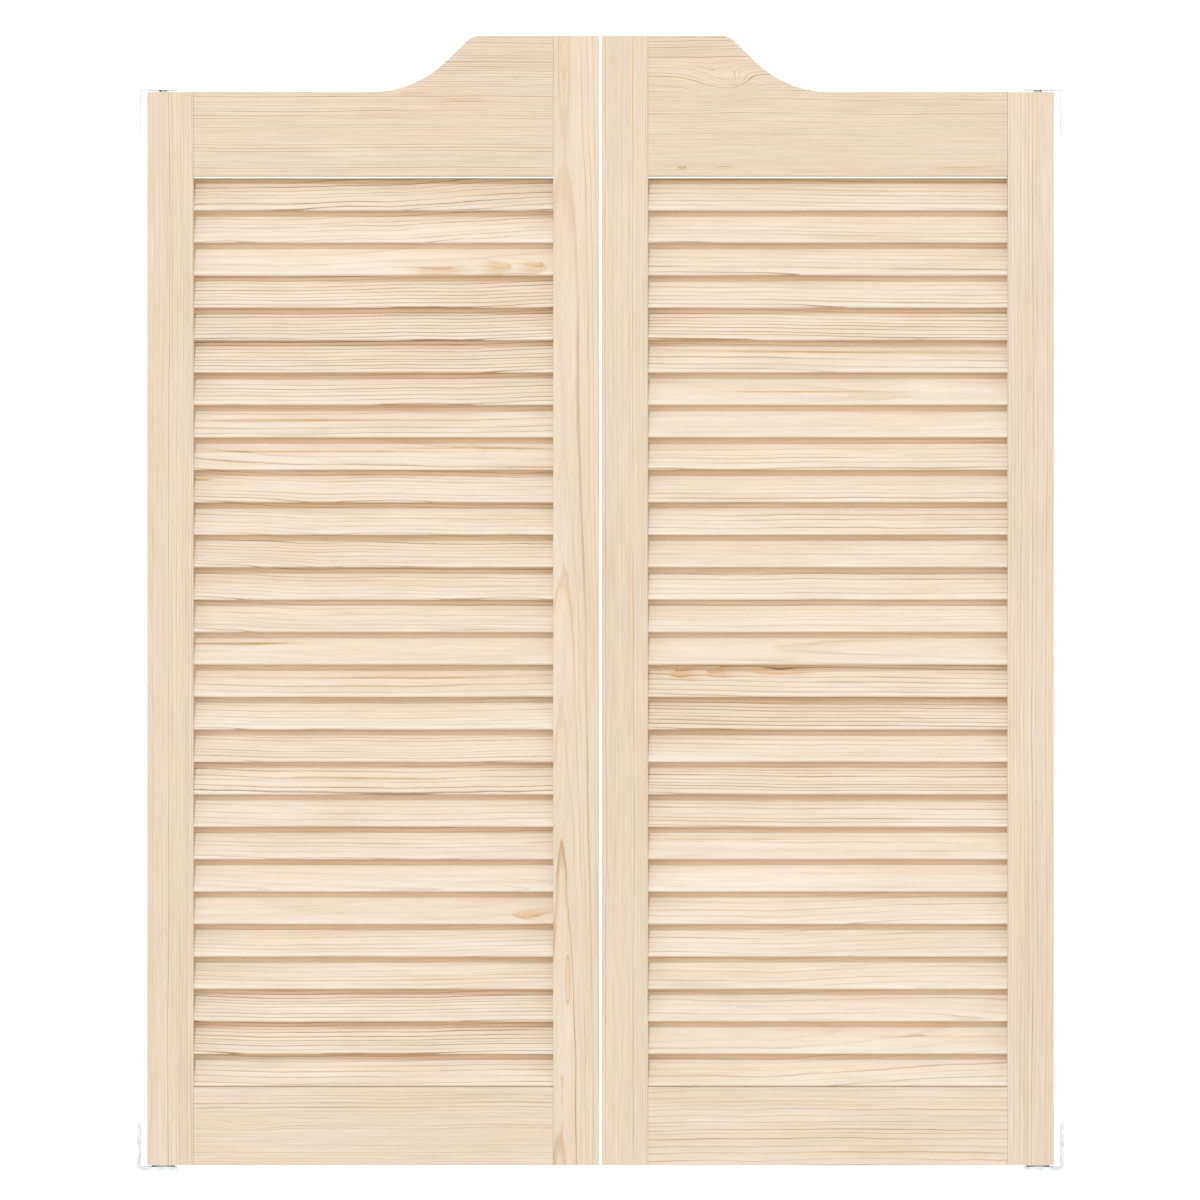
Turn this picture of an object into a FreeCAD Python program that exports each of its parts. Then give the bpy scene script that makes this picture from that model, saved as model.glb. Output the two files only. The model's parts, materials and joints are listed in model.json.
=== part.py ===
"""A pair of scroll-topped louvred cafe doors on concealed double-action pivots.

Millimetres. X runs along the doorway with +X to the right, Y through it with the fronts
of the doors at -Y, and Z up. The origin lies on the meeting line of the two leaves, at
the middle of their thickness and level with the undersides of the bottom brackets.
"""
import FreeCAD, Part
import math
import os

import Sketcher
from FreeCAD import Vector

SIDES = {"left": -1, "right": 1}
SLATS_IN_A_NODE = 2

# Driving dimensions, each the size of one real feature.
SIZES = {
    # Leaves
    "leaf_width": 427.0,
    "leaf_height": 1066.8,
    "leaf_thickness": 28.5,
    "meeting_gap": 2.1,
    "stile_width": 43.8,
    "bottom_rail_height": 74.0,
    "top_rail_height": 79.5,
    "edge_easing": 0.8,
    # Scroll of the top rail, from the high meeting side down to the hinge side
    "scroll_flat": 112.2,
    "scroll_drop": 53.2,
    "scroll_angle": 44.0,
    "scroll_crest_radius": 18.9,
    "scroll_hollow_radius": 99.1,
    # Louvre slats
    "slat_count": 28,
    "slat_thickness": 4.8,
    "slat_nose_flat": 0.1,
    "slat_tilt": 53.0,
    "slat_set_back": 2.0,
    "slat_tongue": 6.0,
    "mortise_clearance": 0.15,
    "sill_gap": 0.2,
    "head_gap": 1.5,
    # Dowels of the rail joints
    "dowel_diameter": 9.5,
    "dowel_length": 50.0,
    "dowel_clearance": 0.05,
    "dowel_end_clearance": 1.0,
    "dowel_wall": 2.8,
    "dowel_edge": 20.0,
    "dowel_over_screws": 3.25,
    # Pivot axis and clearances
    "pivot_inset": 15.0,
    "swing_clearance": 1.0,
    "running_clearance": 0.05,
    "seat_clearance": 0.1,
    # Jamb brackets, bent from steel strip
    "strip_thickness": 3.0,
    "strip_width": 25.0,
    "bend_radius": 1.5,
    "bracket_hole_diameter": 4.5,
    "bracket_countersink": 9.0,
    "bracket_hole_height": 14.0,
    "bracket_hole_spacing": 22.0,
    "bracket_hole_edge": 8.0,
    "foot_margin": 2.0,
    # Bottom pivot
    "washer_thickness": 1.5,
    "washer_margin": 1.5,
    "washer_clearance": 0.2,
    "hex_across_flats": 8.0,
    "journal_radius": 5.0,
    "collar_play": 0.1,
    "collar_thickness": 4.0,
    "shaft_radius": 3.0,
    "barrel_radius": 8.0,
    "barrel_wall": 1.0,
    "plate_thickness": 2.0,
    "plate_side_margin": 2.25,
    "plate_edge_margin": 4.0,
    "plate_end_margin": 6.8,
    "plate_corner_radius": 3.0,
    "cap_thickness": 4.0,
    "bore_end_clearance": 1.0,
    # Centring spring
    "spring_wire": 2.0,
    "spring_turns": 14,
    "spring_coil_gap": 0.2,
    "spring_wall_gap": 0.9,
    "tang_depth": 3.0,
    "tang_clearance": 0.1,
    # Countersunk screws of the barrel plate
    "screw_diameter": 3.5,
    "screw_head_diameter": 6.8,
    "screw_length": 20.0,
    "screw_tip": 3.0,
    "screw_end_distance": 6.0,
    "screw_side_distance": 7.0,
    # Top pivot
    "head_clearance": 2.0,
    "pin_radius": 5.0,
    "pin_tip_radius": 4.0,
    "pin_body_length": 14.0,
    "pin_tip_recess": 0.5,
    "pin_chamfer": 0.8,
    "sleeve_wall": 1.45,
    "sleeve_length": 45.0,
    "sleeve_flange_radius": 10.0,
    "sleeve_flange_thickness": 2.0,
    "pin_spring_wire": 0.8,
    "pin_spring_turns": 12,
    "pin_spring_gap": 0.35,
}

# Places that follow from the driving dimensions. Distances from the centre are measured
# outward from the meeting line, and every height is above the brackets' undersides.
PLACES = {
    "meeting_edge": "sizes.meeting_gap / 2",
    "meeting_face": "meeting_edge + sizes.stile_width",
    "hinge_edge": "meeting_edge + sizes.leaf_width",
    "hinge_face": "hinge_edge - sizes.stile_width",
    "opening_width": "hinge_face - meeting_face",
    "pivot": "hinge_edge - sizes.pivot_inset",
    "half_thickness": "sizes.leaf_thickness / 2",
    "leaf_bottom": "sizes.strip_thickness + sizes.washer_thickness",
    "leaf_top": "leaf_bottom + sizes.leaf_height",
    "hinge_top": "leaf_top - sizes.scroll_drop",
    "sill": "leaf_bottom + sizes.bottom_rail_height",
    "head": "hinge_top - sizes.top_rail_height",
    # Scroll: a crest arc, a straight ramp and a hollow arc, each tangent to the next
    "crest_start": "meeting_edge + sizes.scroll_flat",
    "crest_run": "sizes.scroll_crest_radius * sin(sizes.scroll_angle)",
    "crest_fall": "sizes.scroll_crest_radius * (1 - cos(sizes.scroll_angle))",
    "hollow_run": "sizes.scroll_hollow_radius * sin(sizes.scroll_angle)",
    "hollow_fall": "sizes.scroll_hollow_radius * (1 - cos(sizes.scroll_angle))",
    "ramp_fall": "sizes.scroll_drop - crest_fall - hollow_fall",
    "ramp_start": "crest_start + crest_run",
    "hollow_start": "ramp_start + ramp_fall / tan(sizes.scroll_angle)",
    "hollow_end": "hollow_start + hollow_run",
    # Slats, as wide as lets their tilted, round-nosed section stand just inside both faces
    "slat_round": "sizes.slat_thickness - sizes.slat_nose_flat",
    "slat_nose_radius": "slat_round / 2",
    "slat_depth": "sizes.leaf_thickness - 2 * sizes.slat_set_back",
    "slat_flat_depth": "slat_depth - slat_round"
                       " - (sizes.slat_thickness - slat_round) * sin(sizes.slat_tilt)",
    "slat_width": "slat_flat_depth / cos(sizes.slat_tilt) + slat_round",
    "slat_rise": "(slat_width - slat_round) * sin(sizes.slat_tilt)"
                 " + (sizes.slat_thickness - slat_round) * cos(sizes.slat_tilt) + slat_round",
    "slat_first": "sill + sizes.sill_gap + slat_rise / 2",
    "slat_last": "head - sizes.head_gap - slat_rise / 2",
    "slat_pitch": "(slat_last - slat_first) / (sizes.slat_count - 1)",
    "mortise_depth": "sizes.slat_tongue + 2 * sizes.mortise_clearance",
    # Dowels: they stop short of the spring barrel and stand clear of its screws
    "dowel_radius": "sizes.dowel_diameter / 2",
    "dowel_in_stile": "sizes.stile_width - sizes.pivot_inset - sizes.barrel_radius"
                      " - sizes.dowel_wall",
    "dowel_in_rail": "sizes.dowel_length - dowel_in_stile",
    "sill_dowel_low": "leaf_bottom + sizes.screw_length + sizes.dowel_over_screws"
                      " + dowel_radius",
    "sill_dowel_high": "sill - sizes.dowel_edge",
    "head_dowel_low": "head + sizes.dowel_edge",
    "hinge_dowel_high": "hinge_top - sizes.dowel_edge",
    "meeting_dowel_high": "leaf_top - sizes.dowel_edge",
    # Brackets, measured outward from the pivot axis
    "leg_inside": "sqrt(sizes.pivot_inset ^ 2 + half_thickness ^ 2) + sizes.swing_clearance",
    "jamb": "leg_inside + sizes.strip_thickness",
    "leg_height": "sizes.bracket_hole_height + sizes.bracket_hole_spacing"
                  " + sizes.bracket_hole_edge",
    "bracket_hole_radius": "sizes.bracket_hole_diameter / 2",
    "bracket_sink_radius": "sizes.bracket_countersink / 2",
    "bracket_sink_depth": "bracket_sink_radius - bracket_hole_radius",
    "washer_radius": "sizes.strip_width / 2 - sizes.washer_margin",
    "foot_reach": "washer_radius + sizes.foot_margin",
    "bend_outside": "sizes.bend_radius + sizes.strip_thickness",
    # Bottom pivot
    "plate_top": "leaf_bottom + sizes.plate_thickness",
    "collar_bottom": "plate_top + sizes.collar_play",
    "collar_top": "collar_bottom + sizes.collar_thickness",
    "spring_pitch": "sizes.spring_wire + sizes.spring_coil_gap",
    "spring_height": "sizes.spring_turns * spring_pitch",
    "cap_bottom": "collar_top + spring_height + sizes.spring_wire",
    "barrel_top": "cap_bottom + sizes.cap_thickness",
    "barrel_bore": "sizes.barrel_radius - sizes.barrel_wall",
    "spring_radius": "barrel_bore - sizes.spring_wall_gap - sizes.spring_wire / 2",
    "plate_outer_end": "sizes.pivot_inset - sizes.plate_edge_margin",
    "plate_inner_end": "sizes.stile_width - sizes.pivot_inset - sizes.plate_end_margin",
    "plate_half_width": "half_thickness - sizes.plate_side_margin",
    "screw_radius": "sizes.screw_diameter / 2",
    "screw_head_radius": "sizes.screw_head_diameter / 2",
    "screw_head_height": "screw_head_radius - screw_radius",
    "screw_place": "plate_inner_end - sizes.screw_end_distance",
    # Top pivot, with heights above the top of the hinge stile
    "top_foot_top": "sizes.head_clearance + sizes.strip_thickness",
    "sleeve_bore": "sizes.pin_radius + sizes.running_clearance",
    "sleeve_radius": "sleeve_bore + sizes.sleeve_wall",
    "sleeve_eye": "sizes.pin_tip_radius + sizes.running_clearance",
    "pin_tip_top": "top_foot_top - sizes.pin_tip_recess",
    "pin_bottom": "-sizes.sleeve_flange_thickness - sizes.pin_body_length",
    "pin_spring_height": "sizes.sleeve_length + pin_bottom - sizes.pin_spring_wire",
    "pin_spring_radius": "sleeve_bore - sizes.pin_spring_gap - sizes.pin_spring_wire / 2",
}

doc = FreeCAD.newDocument("cafe_swinging_doors")


def sheet(name, column):
    """A spreadsheet with one named cell for each entry."""
    page = doc.addObject("Spreadsheet::Sheet", name)
    for row, (alias, content) in enumerate(column.items(), 1):
        page.set(f"A{row}", alias)
        page.set(f"B{row}", content)
        page.setAlias(f"B{row}", alias)
    doc.recompute()
    return page


sizes = sheet("sizes", {alias: str(size) for alias, size in SIZES.items()})
places = sheet("places", {alias: f"={rule}" for alias, rule in PLACES.items()})


def value(expression):
    return float(sizes.evalExpression(expression))


def outward(side, expression):
    """A distance measured away from the meeting line, as a coordinate along X."""
    return f"{side} * ({expression})"


# ---- Sketches and features ----

def new_body(side_name, piece):
    body = doc.addObject("PartDesign::Body", f"{side_name}_{piece}")
    body.Label = f"{side_name}_{piece}"
    return body


def origin_feature(body, role):
    return next(feature for feature in body.Origin.OriginFeatures if feature.Role == role)


def new_sketch(body, role, along="0", up="0", lift="0", turn="0"):
    """A sketch on one of the body's own planes.

    Its origin is moved along and up in the plane, and lifted along the plane's normal,
    which is +Z for XY_Plane, -Y for XZ_Plane and +X for YZ_Plane.
    """
    sketch = body.newObject("Sketcher::SketchObject", f"{body.Name}_sketch")
    sketch.AttachmentSupport = [(origin_feature(body, role), "")]
    sketch.MapMode = "FlatFace"
    sketch.setExpression(".AttachmentOffset.Base.x", along)
    sketch.setExpression(".AttachmentOffset.Base.y", up)
    sketch.setExpression(".AttachmentOffset.Base.z", lift)
    sketch.setExpression(".AttachmentOffset.Rotation.Angle", turn)
    return sketch


def bind(sketch, constraint, expression):
    number = sketch.addConstraint(constraint)
    sketch.setExpression(f"Constraints[{number}]", expression)


def bind_point(sketch, element, position, place):
    for direction, expression in zip(("DistanceX", "DistanceY"), place):
        distance = value(expression)
        bind(sketch, Sketcher.Constraint(direction, element, position, distance), expression)


def add_arc(sketch, start, end, radius):
    """An arc under a half turn, and whether it runs anticlockwise from start to end.

    A positive radius turns left on the way from start to end, and a negative one right.
    """
    chord = end - start
    to_centre = math.sqrt(radius ** 2 - (chord.Length / 2) ** 2) * math.copysign(1, radius)
    normal = Vector(-chord.y, chord.x, 0).normalize()
    centre = (start + end) / 2 + normal * to_centre
    first, last = (start, end) if radius > 0 else (end, start)
    angles = [math.atan2(point.y - centre.y, point.x - centre.x) for point in (first, last)]
    circle = Part.Circle(centre, Vector(0, 0, 1), abs(radius))
    sketch.addGeometry(Part.ArcOfCircle(circle, angles[0], angles[1]))
    return radius > 0


def add_outline(sketch, corners, arcs=None):
    """A closed outline through the corners, each an (x, y) pair of expressions.

    arcs maps the number of a corner to the signed radius of the arc that leaves it.
    """
    arcs = arcs or {}
    count = len(corners)
    first = sketch.GeometryCount
    points = [Vector(value(x), value(y), 0) for x, y in corners]
    ends = []
    for number in range(count):
        start, end = points[number], points[(number + 1) % count]
        forward = True
        if number in arcs:
            forward = add_arc(sketch, start, end, value(arcs[number]))
        else:
            sketch.addGeometry(Part.LineSegment(start, end))
        ends.append((1, 2) if forward else (2, 1))
    for number in range(count):
        after = (number + 1) % count
        joint = (first + number, ends[number][1], first + after, ends[after][0])
        sketch.addConstraint(Sketcher.Constraint("Coincident", *joint))
        bind_point(sketch, first + number, ends[number][0], corners[number])
    for number, radius in arcs.items():
        size = Sketcher.Constraint("Radius", first + number, abs(value(radius)))
        bind(sketch, size, f"abs({radius})")


def add_rectangle(sketch, left, right, bottom, top, radius):
    """A rectangle between four expressions, with rounded corners."""
    inner_left, inner_right = f"{left} + {radius}", f"{right} - {radius}"
    inner_bottom, inner_top = f"{bottom} + {radius}", f"{top} - {radius}"
    corners = [
        (inner_left, bottom), (inner_right, bottom),
        (right, inner_bottom), (right, inner_top),
        (inner_right, top), (inner_left, top),
        (left, inner_top), (left, inner_bottom),
    ]
    add_outline(sketch, corners, {1: radius, 3: radius, 5: radius, 7: radius})


def add_circle(sketch, x, y, radius):
    circle = Part.Circle(Vector(value(x), value(y), 0), Vector(0, 0, 1), value(radius))
    number = sketch.addGeometry(circle)
    bind_point(sketch, number, 3, (x, y))
    bind(sketch, Sketcher.Constraint("Radius", number, value(radius)), radius)


def add_hexagon(sketch, across_flats):
    """A regular hexagon about the sketch's origin, with two flats square to its y axis."""
    half = f"{across_flats} / 2"
    reach = f"{half} / cos(30)"
    corners = []
    for angle in range(0, 360, 60):
        corners.append((f"{reach} * cos({angle})", f"{reach} * sin({angle})"))
    add_outline(sketch, corners)


def pad(body, sketch, length, direction=1, symmetric=False):
    """Material added from the sketch: direction is 1 along the plane's normal, or -1."""
    feature = body.newObject("PartDesign::Pad", f"{body.Name}_pad")
    feature.Profile = sketch
    feature.Reversed = direction < 0
    if symmetric:
        feature.SideType = "Symmetric"
    feature.setExpression("Length", length)
    doc.recompute()
    return feature


def pocket(body, sketch, length, direction=1):
    """Material cut from the sketch: direction is 1 along the plane's normal, or -1."""
    feature = body.newObject("PartDesign::Pocket", f"{body.Name}_pocket")
    feature.Profile = sketch
    feature.Reversed = direction > 0
    feature.setExpression("Length", length)
    doc.recompute()
    return feature


def turned(body, kind, sketch, axis):
    """A Revolution or a Groove about the sketch's own H_Axis or V_Axis."""
    feature = body.newObject(f"PartDesign::{kind}", f"{body.Name}_{kind.lower()}")
    feature.Profile = sketch
    feature.ReferenceAxis = (sketch, [axis])
    feature.Angle = 360
    doc.recompute()
    return feature


def helix(body, sketch, height, turns):
    feature = body.newObject("PartDesign::AdditiveHelix", f"{body.Name}_helix")
    feature.Profile = sketch
    feature.ReferenceAxis = (origin_feature(body, "Z_Axis"), [""])
    feature.Mode = "height-turns-angle"
    feature.setExpression("Height", height)
    feature.setExpression("Turns", turns)
    doc.recompute()
    return feature


def row(body, feature, spacing, count, direction=1):
    """Copies of a feature, evenly spaced up the body's Z axis, or down it."""
    pattern = body.newObject("PartDesign::LinearPattern", f"{body.Name}_row")
    pattern.Originals = [feature]
    pattern.Direction = (origin_feature(body, "Z_Axis"), [""])
    pattern.Reversed = direction < 0
    pattern.Mode = "Spacing"
    pattern.setExpression("Offset", spacing)
    pattern.setExpression("Occurrences", count)
    body.Tip = pattern
    doc.recompute()
    return pattern


def mirrored(body, feature, role):
    """A second copy of a feature, on the other side of one of the body's planes."""
    pattern = body.newObject("PartDesign::Mirrored", f"{body.Name}_mirrored")
    pattern.Originals = [feature]
    pattern.MirrorPlane = (origin_feature(body, role), [""])
    body.Tip = pattern
    doc.recompute()
    return pattern


def put_on_pivot(body, side, height="0"):
    """Moves a body that is modelled about the pivot axis to its side of the doorway."""
    body.setExpression(".Placement.Base.x", outward(side, "places.pivot"))
    body.setExpression(".Placement.Base.z", height)


# ---- Wooden pieces ----

def slat_section(body, lift, clearance):
    """The tilted section of the lowest slat, with its round noses, or of its mortise."""
    up, turn = "places.slat_first", "sizes.slat_tilt"
    sketch = new_sketch(body, "YZ_Plane", up=up, lift=lift, turn=turn)
    half_width = f"(places.slat_width / 2 + {clearance})"
    half_height = f"(sizes.slat_thickness / 2 + {clearance})"
    radius = f"(places.slat_nose_radius + {clearance})"
    limits = (f"-{half_width}", half_width, f"-{half_height}", half_height)
    add_rectangle(sketch, *limits, radius)
    return sketch


def cut_mortises(body, face, direction):
    """One blind mortise for each slat, in the stile's face towards the louvres."""
    sketch = slat_section(body, face, "sizes.mortise_clearance")
    first = pocket(body, sketch, "places.mortise_depth", direction)
    row(body, first, "places.slat_pitch", "sizes.slat_count")


def cut_dowel_holes(body, face, depth, heights, direction):
    sketch = new_sketch(body, "YZ_Plane", lift=face)
    for height in heights:
        add_circle(sketch, "0", height, "places.dowel_radius + sizes.dowel_clearance")
    pocket(body, sketch, f"{depth} + sizes.dowel_end_clearance", direction)


HINGE_HEIGHTS = {
    "sill": ("places.sill_dowel_low", "places.sill_dowel_high"),
    "head": ("places.head_dowel_low", "places.hinge_dowel_high"),
}
MEETING_HEIGHTS = {
    "sill": ("places.sill_dowel_low", "places.sill_dowel_high"),
    "head": ("places.head_dowel_low", "places.meeting_dowel_high"),
}


def upright_board(body, side, inner, outer, height):
    sketch = new_sketch(body, "XY_Plane", lift="places.leaf_bottom")
    edges = sorted((outward(side, inner), outward(side, outer)), key=value)
    limits = (*edges, "-places.half_thickness", "places.half_thickness")
    add_rectangle(sketch, *limits, "sizes.edge_easing")
    pad(body, sketch, height)


def meeting_stile(side_name, side):
    """The taller stile, with the mortises and the dowel holes of both rails."""
    body = new_body(side_name, "meeting_stile")
    upright_board(body, side, "places.meeting_edge", "places.meeting_face", "sizes.leaf_height")
    face = outward(side, "places.meeting_face")
    cut_mortises(body, face, -side)
    heights = MEETING_HEIGHTS["sill"] + MEETING_HEIGHTS["head"]
    cut_dowel_holes(body, face, "places.dowel_in_stile", heights, -side)


def hinge_stile(side_name, side):
    """The lower stile, with the bores and recesses of both pivots in its ends."""
    body = new_body(side_name, "hinge_stile")
    height = "sizes.leaf_height - sizes.scroll_drop"
    upright_board(body, side, "places.hinge_face", "places.hinge_edge", height)
    face = outward(side, "places.hinge_face")
    cut_mortises(body, face, side)
    heights = HINGE_HEIGHTS["sill"] + HINGE_HEIGHTS["head"]
    cut_dowel_holes(body, face, "places.dowel_in_stile", heights, side)
    cut_bottom_pivot(body, side)
    cut_top_pivot(body, side)


def cut_bottom_pivot(body, side):
    """The plate recess, the barrel's bore and the holes of its screws."""
    pivot = outward(side, "places.pivot")
    recess = new_sketch(body, "XY_Plane", along=pivot, lift="places.leaf_bottom")
    plate_outline(recess, side, "sizes.seat_clearance")
    pocket(body, recess, "sizes.plate_thickness")
    bore = new_sketch(body, "XY_Plane", along=pivot, lift="places.plate_top")
    add_circle(bore, "0", "0", "sizes.barrel_radius + sizes.seat_clearance")
    pocket(body, bore, "places.barrel_top + sizes.bore_end_clearance - places.plate_top")
    holes = new_sketch(body, "XY_Plane", along=pivot, lift="places.plate_top")
    radius = "places.screw_radius + sizes.running_clearance"
    place = outward(-side, "places.screw_place")
    for across in ("-sizes.screw_side_distance", "sizes.screw_side_distance"):
        add_circle(holes, place, across, radius)
    pocket(body, holes, "sizes.screw_length + sizes.bore_end_clearance - sizes.plate_thickness")


def cut_top_pivot(body, side):
    """The bore of the nylon sleeve and the recess of its flange."""
    pivot = outward(side, "places.pivot")
    for radius, depth in (
        ("places.sleeve_radius", "sizes.sleeve_length"),
        ("sizes.sleeve_flange_radius", "sizes.sleeve_flange_thickness"),
    ):
        sketch = new_sketch(body, "XY_Plane", along=pivot, lift="places.hinge_top")
        add_circle(sketch, "0", "0", f"{radius} + sizes.seat_clearance")
        pocket(body, sketch, depth, -1)


def rail_dowel_holes(body, side, rail):
    hinge = (outward(side, "places.hinge_face"), "places.dowel_in_rail")
    cut_dowel_holes(body, *hinge, HINGE_HEIGHTS[rail], -side)
    meeting = (outward(side, "places.meeting_face"), "places.dowel_in_rail")
    cut_dowel_holes(body, *meeting, MEETING_HEIGHTS[rail], side)


def bottom_rail(side_name, side):
    body = new_body(side_name, "bottom_rail")
    sketch = new_sketch(body, "YZ_Plane", lift=outward(side, "places.meeting_face"))
    faces = ("-places.half_thickness", "places.half_thickness")
    add_rectangle(sketch, *faces, "places.leaf_bottom", "places.sill", "sizes.edge_easing")
    pad(body, sketch, "places.opening_width", side)
    rail_dowel_holes(body, side, "sill")


def top_rail(side_name, side):
    """The board whose upper edge falls in a scroll from the meeting to the hinge side."""
    body = new_body(side_name, "top_rail")
    sketch = new_sketch(body, "XZ_Plane")
    ramp_top = "places.leaf_top - places.crest_fall"
    corners = [
        ("places.meeting_face", "places.head"),
        ("places.hinge_face", "places.head"),
        ("places.hinge_face", "places.hinge_top"),
        ("places.hollow_end", "places.hinge_top"),
        ("places.hollow_start", "places.hinge_top + places.hollow_fall"),
        ("places.ramp_start", ramp_top),
        ("places.crest_start", "places.leaf_top"),
        ("places.meeting_face", "places.leaf_top"),
    ]
    arcs = {3: f"-1 * {side} * sizes.scroll_hollow_radius",
            5: f"{side} * sizes.scroll_crest_radius"}
    add_outline(sketch, [(outward(side, x), z) for x, z in corners], arcs)
    board = pad(body, sketch, "sizes.leaf_thickness", symmetric=True)
    easing = body.newObject("PartDesign::Fillet", f"{body.Name}_easing")
    easing.Base = (board, long_edges(board.Shape))
    easing.setExpression("Radius", "sizes.edge_easing")
    doc.recompute()
    rail_dowel_holes(body, side, "head")


def long_edges(shape):
    """The edges that run along the board's two faces, without its end edges."""
    names = []
    for number, edge in enumerate(shape.Edges, 1):
        box = edge.BoundBox
        if box.YLength < box.XLength:
            names.append(f"Edge{number}")
    return names


def rail_dowels(side_name, side):
    """Eight dowels, two across each joint of a rail with a stile."""
    body = new_body(side_name, "rail_dowels")
    for face, heights, in_stile in (
        ("places.hinge_face", HINGE_HEIGHTS, side),
        ("places.meeting_face", MEETING_HEIGHTS, -side),
    ):
        start = f"{outward(side, face)} + {outward(in_stile, 'places.dowel_in_stile')}"
        sketch = new_sketch(body, "YZ_Plane", lift=start)
        for height in heights["sill"] + heights["head"]:
            add_circle(sketch, "0", height, "places.dowel_radius")
        pad(body, sketch, "sizes.dowel_length", -in_stile)


def slats(side_name, side, first, count):
    """Neighbouring slats, counted from the sill, with a tongue in a mortise at each end."""
    body = new_body(side_name, f"slats_{first:02d}_{first + count - 1:02d}")
    start = outward(side, "places.meeting_face - sizes.slat_tongue")
    sketch = slat_section(body, start, "0")
    length = "places.opening_width + 2 * sizes.slat_tongue"
    slat = pad(body, sketch, length, side)
    if count > 1:
        row(body, slat, "places.slat_pitch", str(count))
    body.setExpression(".Placement.Base.z", f"places.slat_pitch * {first - 1}")


# ---- Pivot hardware, modelled about the pivot axis ----

def plate_outline(sketch, side, clearance):
    ends = (f"places.plate_outer_end + {clearance}",
            f"-(places.plate_inner_end + {clearance})")
    limits = sorted((outward(side, end) for end in ends), key=value)
    half_width = f"(places.plate_half_width + {clearance})"
    radius = f"(sizes.plate_corner_radius + {clearance})"
    add_rectangle(sketch, *limits, f"-{half_width}", half_width, radius)


def bracket(side_name, side, piece, foot, tip, height):
    """A strip bent into an L: a foot across the pivot and a leg along the jamb.

    foot is the height of the foot's face on the leg's side, and tip is 1 where the leg
    stands up from it or -1 where it hangs down.
    """
    body = new_body(side_name, piece)
    sketch = new_sketch(body, "XZ_Plane")
    back = f"{foot} - {tip} * sizes.strip_thickness"
    end = f"{back} + {tip} * places.leg_height"
    corners = [
        ("-places.foot_reach", back),
        ("places.jamb - places.bend_outside", back),
        ("places.jamb", f"{back} + {tip} * places.bend_outside"),
        ("places.jamb", end),
        ("places.leg_inside", end),
        ("places.leg_inside", f"{foot} + {tip} * sizes.bend_radius"),
        ("places.leg_inside - sizes.bend_radius", foot),
        ("-places.foot_reach", foot),
    ]
    arcs = {1: f"{side * tip} * places.bend_outside",
            5: f"{-side * tip} * sizes.bend_radius"}
    add_outline(sketch, [(outward(side, x), z) for x, z in corners], arcs)
    pad(body, sketch, "sizes.strip_width", symmetric=True)
    lowest = f"{back} + {tip} * sizes.bracket_hole_height"
    hole = new_sketch(body, "XZ_Plane", up=lowest)
    profile = [
        ("places.leg_inside", "0"),
        ("places.leg_inside", "places.bracket_sink_radius"),
        ("places.leg_inside + places.bracket_sink_depth", "places.bracket_hole_radius"),
        ("places.jamb", "places.bracket_hole_radius"),
        ("places.jamb", "0"),
    ]
    add_outline(hole, [(outward(side, x), z) for x, z in profile])
    groove = turned(body, "Groove", hole, "H_Axis")
    row(body, groove, "sizes.bracket_hole_spacing", "2", tip)
    put_on_pivot(body, side, height)
    return body


def bottom_bracket(side_name, side):
    """The foot carries the leaf, and its hexagonal hole keeps the spindle from turning."""
    body = bracket(side_name, side, "bottom_bracket", "sizes.strip_thickness", 1, "0")
    sketch = new_sketch(body, "XY_Plane")
    add_hexagon(sketch, "(sizes.hex_across_flats + 2 * sizes.running_clearance)")
    pocket(body, sketch, "sizes.strip_thickness")


def top_bracket(side_name, side):
    """The foot lies over the leaf, with a round hole for the top pin."""
    foot = "sizes.head_clearance"
    body = bracket(side_name, side, "top_bracket", foot, -1, "places.hinge_top")
    sketch = new_sketch(body, "XY_Plane", lift=foot)
    add_circle(sketch, "0", "0", "sizes.pin_tip_radius + sizes.seat_clearance")
    pocket(body, sketch, "sizes.strip_thickness")


def thrust_washer(side_name, side):
    body = new_body(side_name, "thrust_washer")
    sketch = new_sketch(body, "XY_Plane", lift="sizes.strip_thickness")
    add_circle(sketch, "0", "0", "places.washer_radius")
    add_circle(sketch, "0", "0", "sizes.journal_radius + sizes.washer_clearance")
    pad(body, sketch, "sizes.washer_thickness")
    put_on_pivot(body, side)


def tang_hole(body, height, direction):
    """The blind hole in a spring's seat that takes the end of its wire."""
    sketch = new_sketch(body, "XY_Plane", lift=height)
    radius = "sizes.spring_wire / 2 + sizes.tang_clearance"
    add_circle(sketch, "places.spring_radius", "0", radius)
    pocket(body, sketch, "sizes.tang_depth + sizes.tang_clearance", direction)


def spindle(side_name, side):
    """A hexagonal tip in the bracket, a journal, a collar under the spring and a shaft."""
    body = new_body(side_name, "spindle")
    hexagon = new_sketch(body, "XY_Plane")
    add_hexagon(hexagon, "sizes.hex_across_flats")
    pad(body, hexagon, "sizes.strip_thickness")
    collar_radius = "places.barrel_bore - sizes.seat_clearance"
    profile = [
        ("0", "sizes.strip_thickness"),
        ("sizes.journal_radius", "sizes.strip_thickness"),
        ("sizes.journal_radius", "places.collar_bottom"),
        (collar_radius, "places.collar_bottom"),
        (collar_radius, "places.collar_top"),
        ("sizes.shaft_radius", "places.collar_top"),
        ("sizes.shaft_radius", "places.barrel_top"),
        ("0", "places.barrel_top"),
    ]
    section = new_sketch(body, "XZ_Plane")
    add_outline(section, profile)
    turned(body, "Revolution", section, "V_Axis")
    tang_hole(body, "places.collar_top", -1)
    put_on_pivot(body, side)


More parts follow.
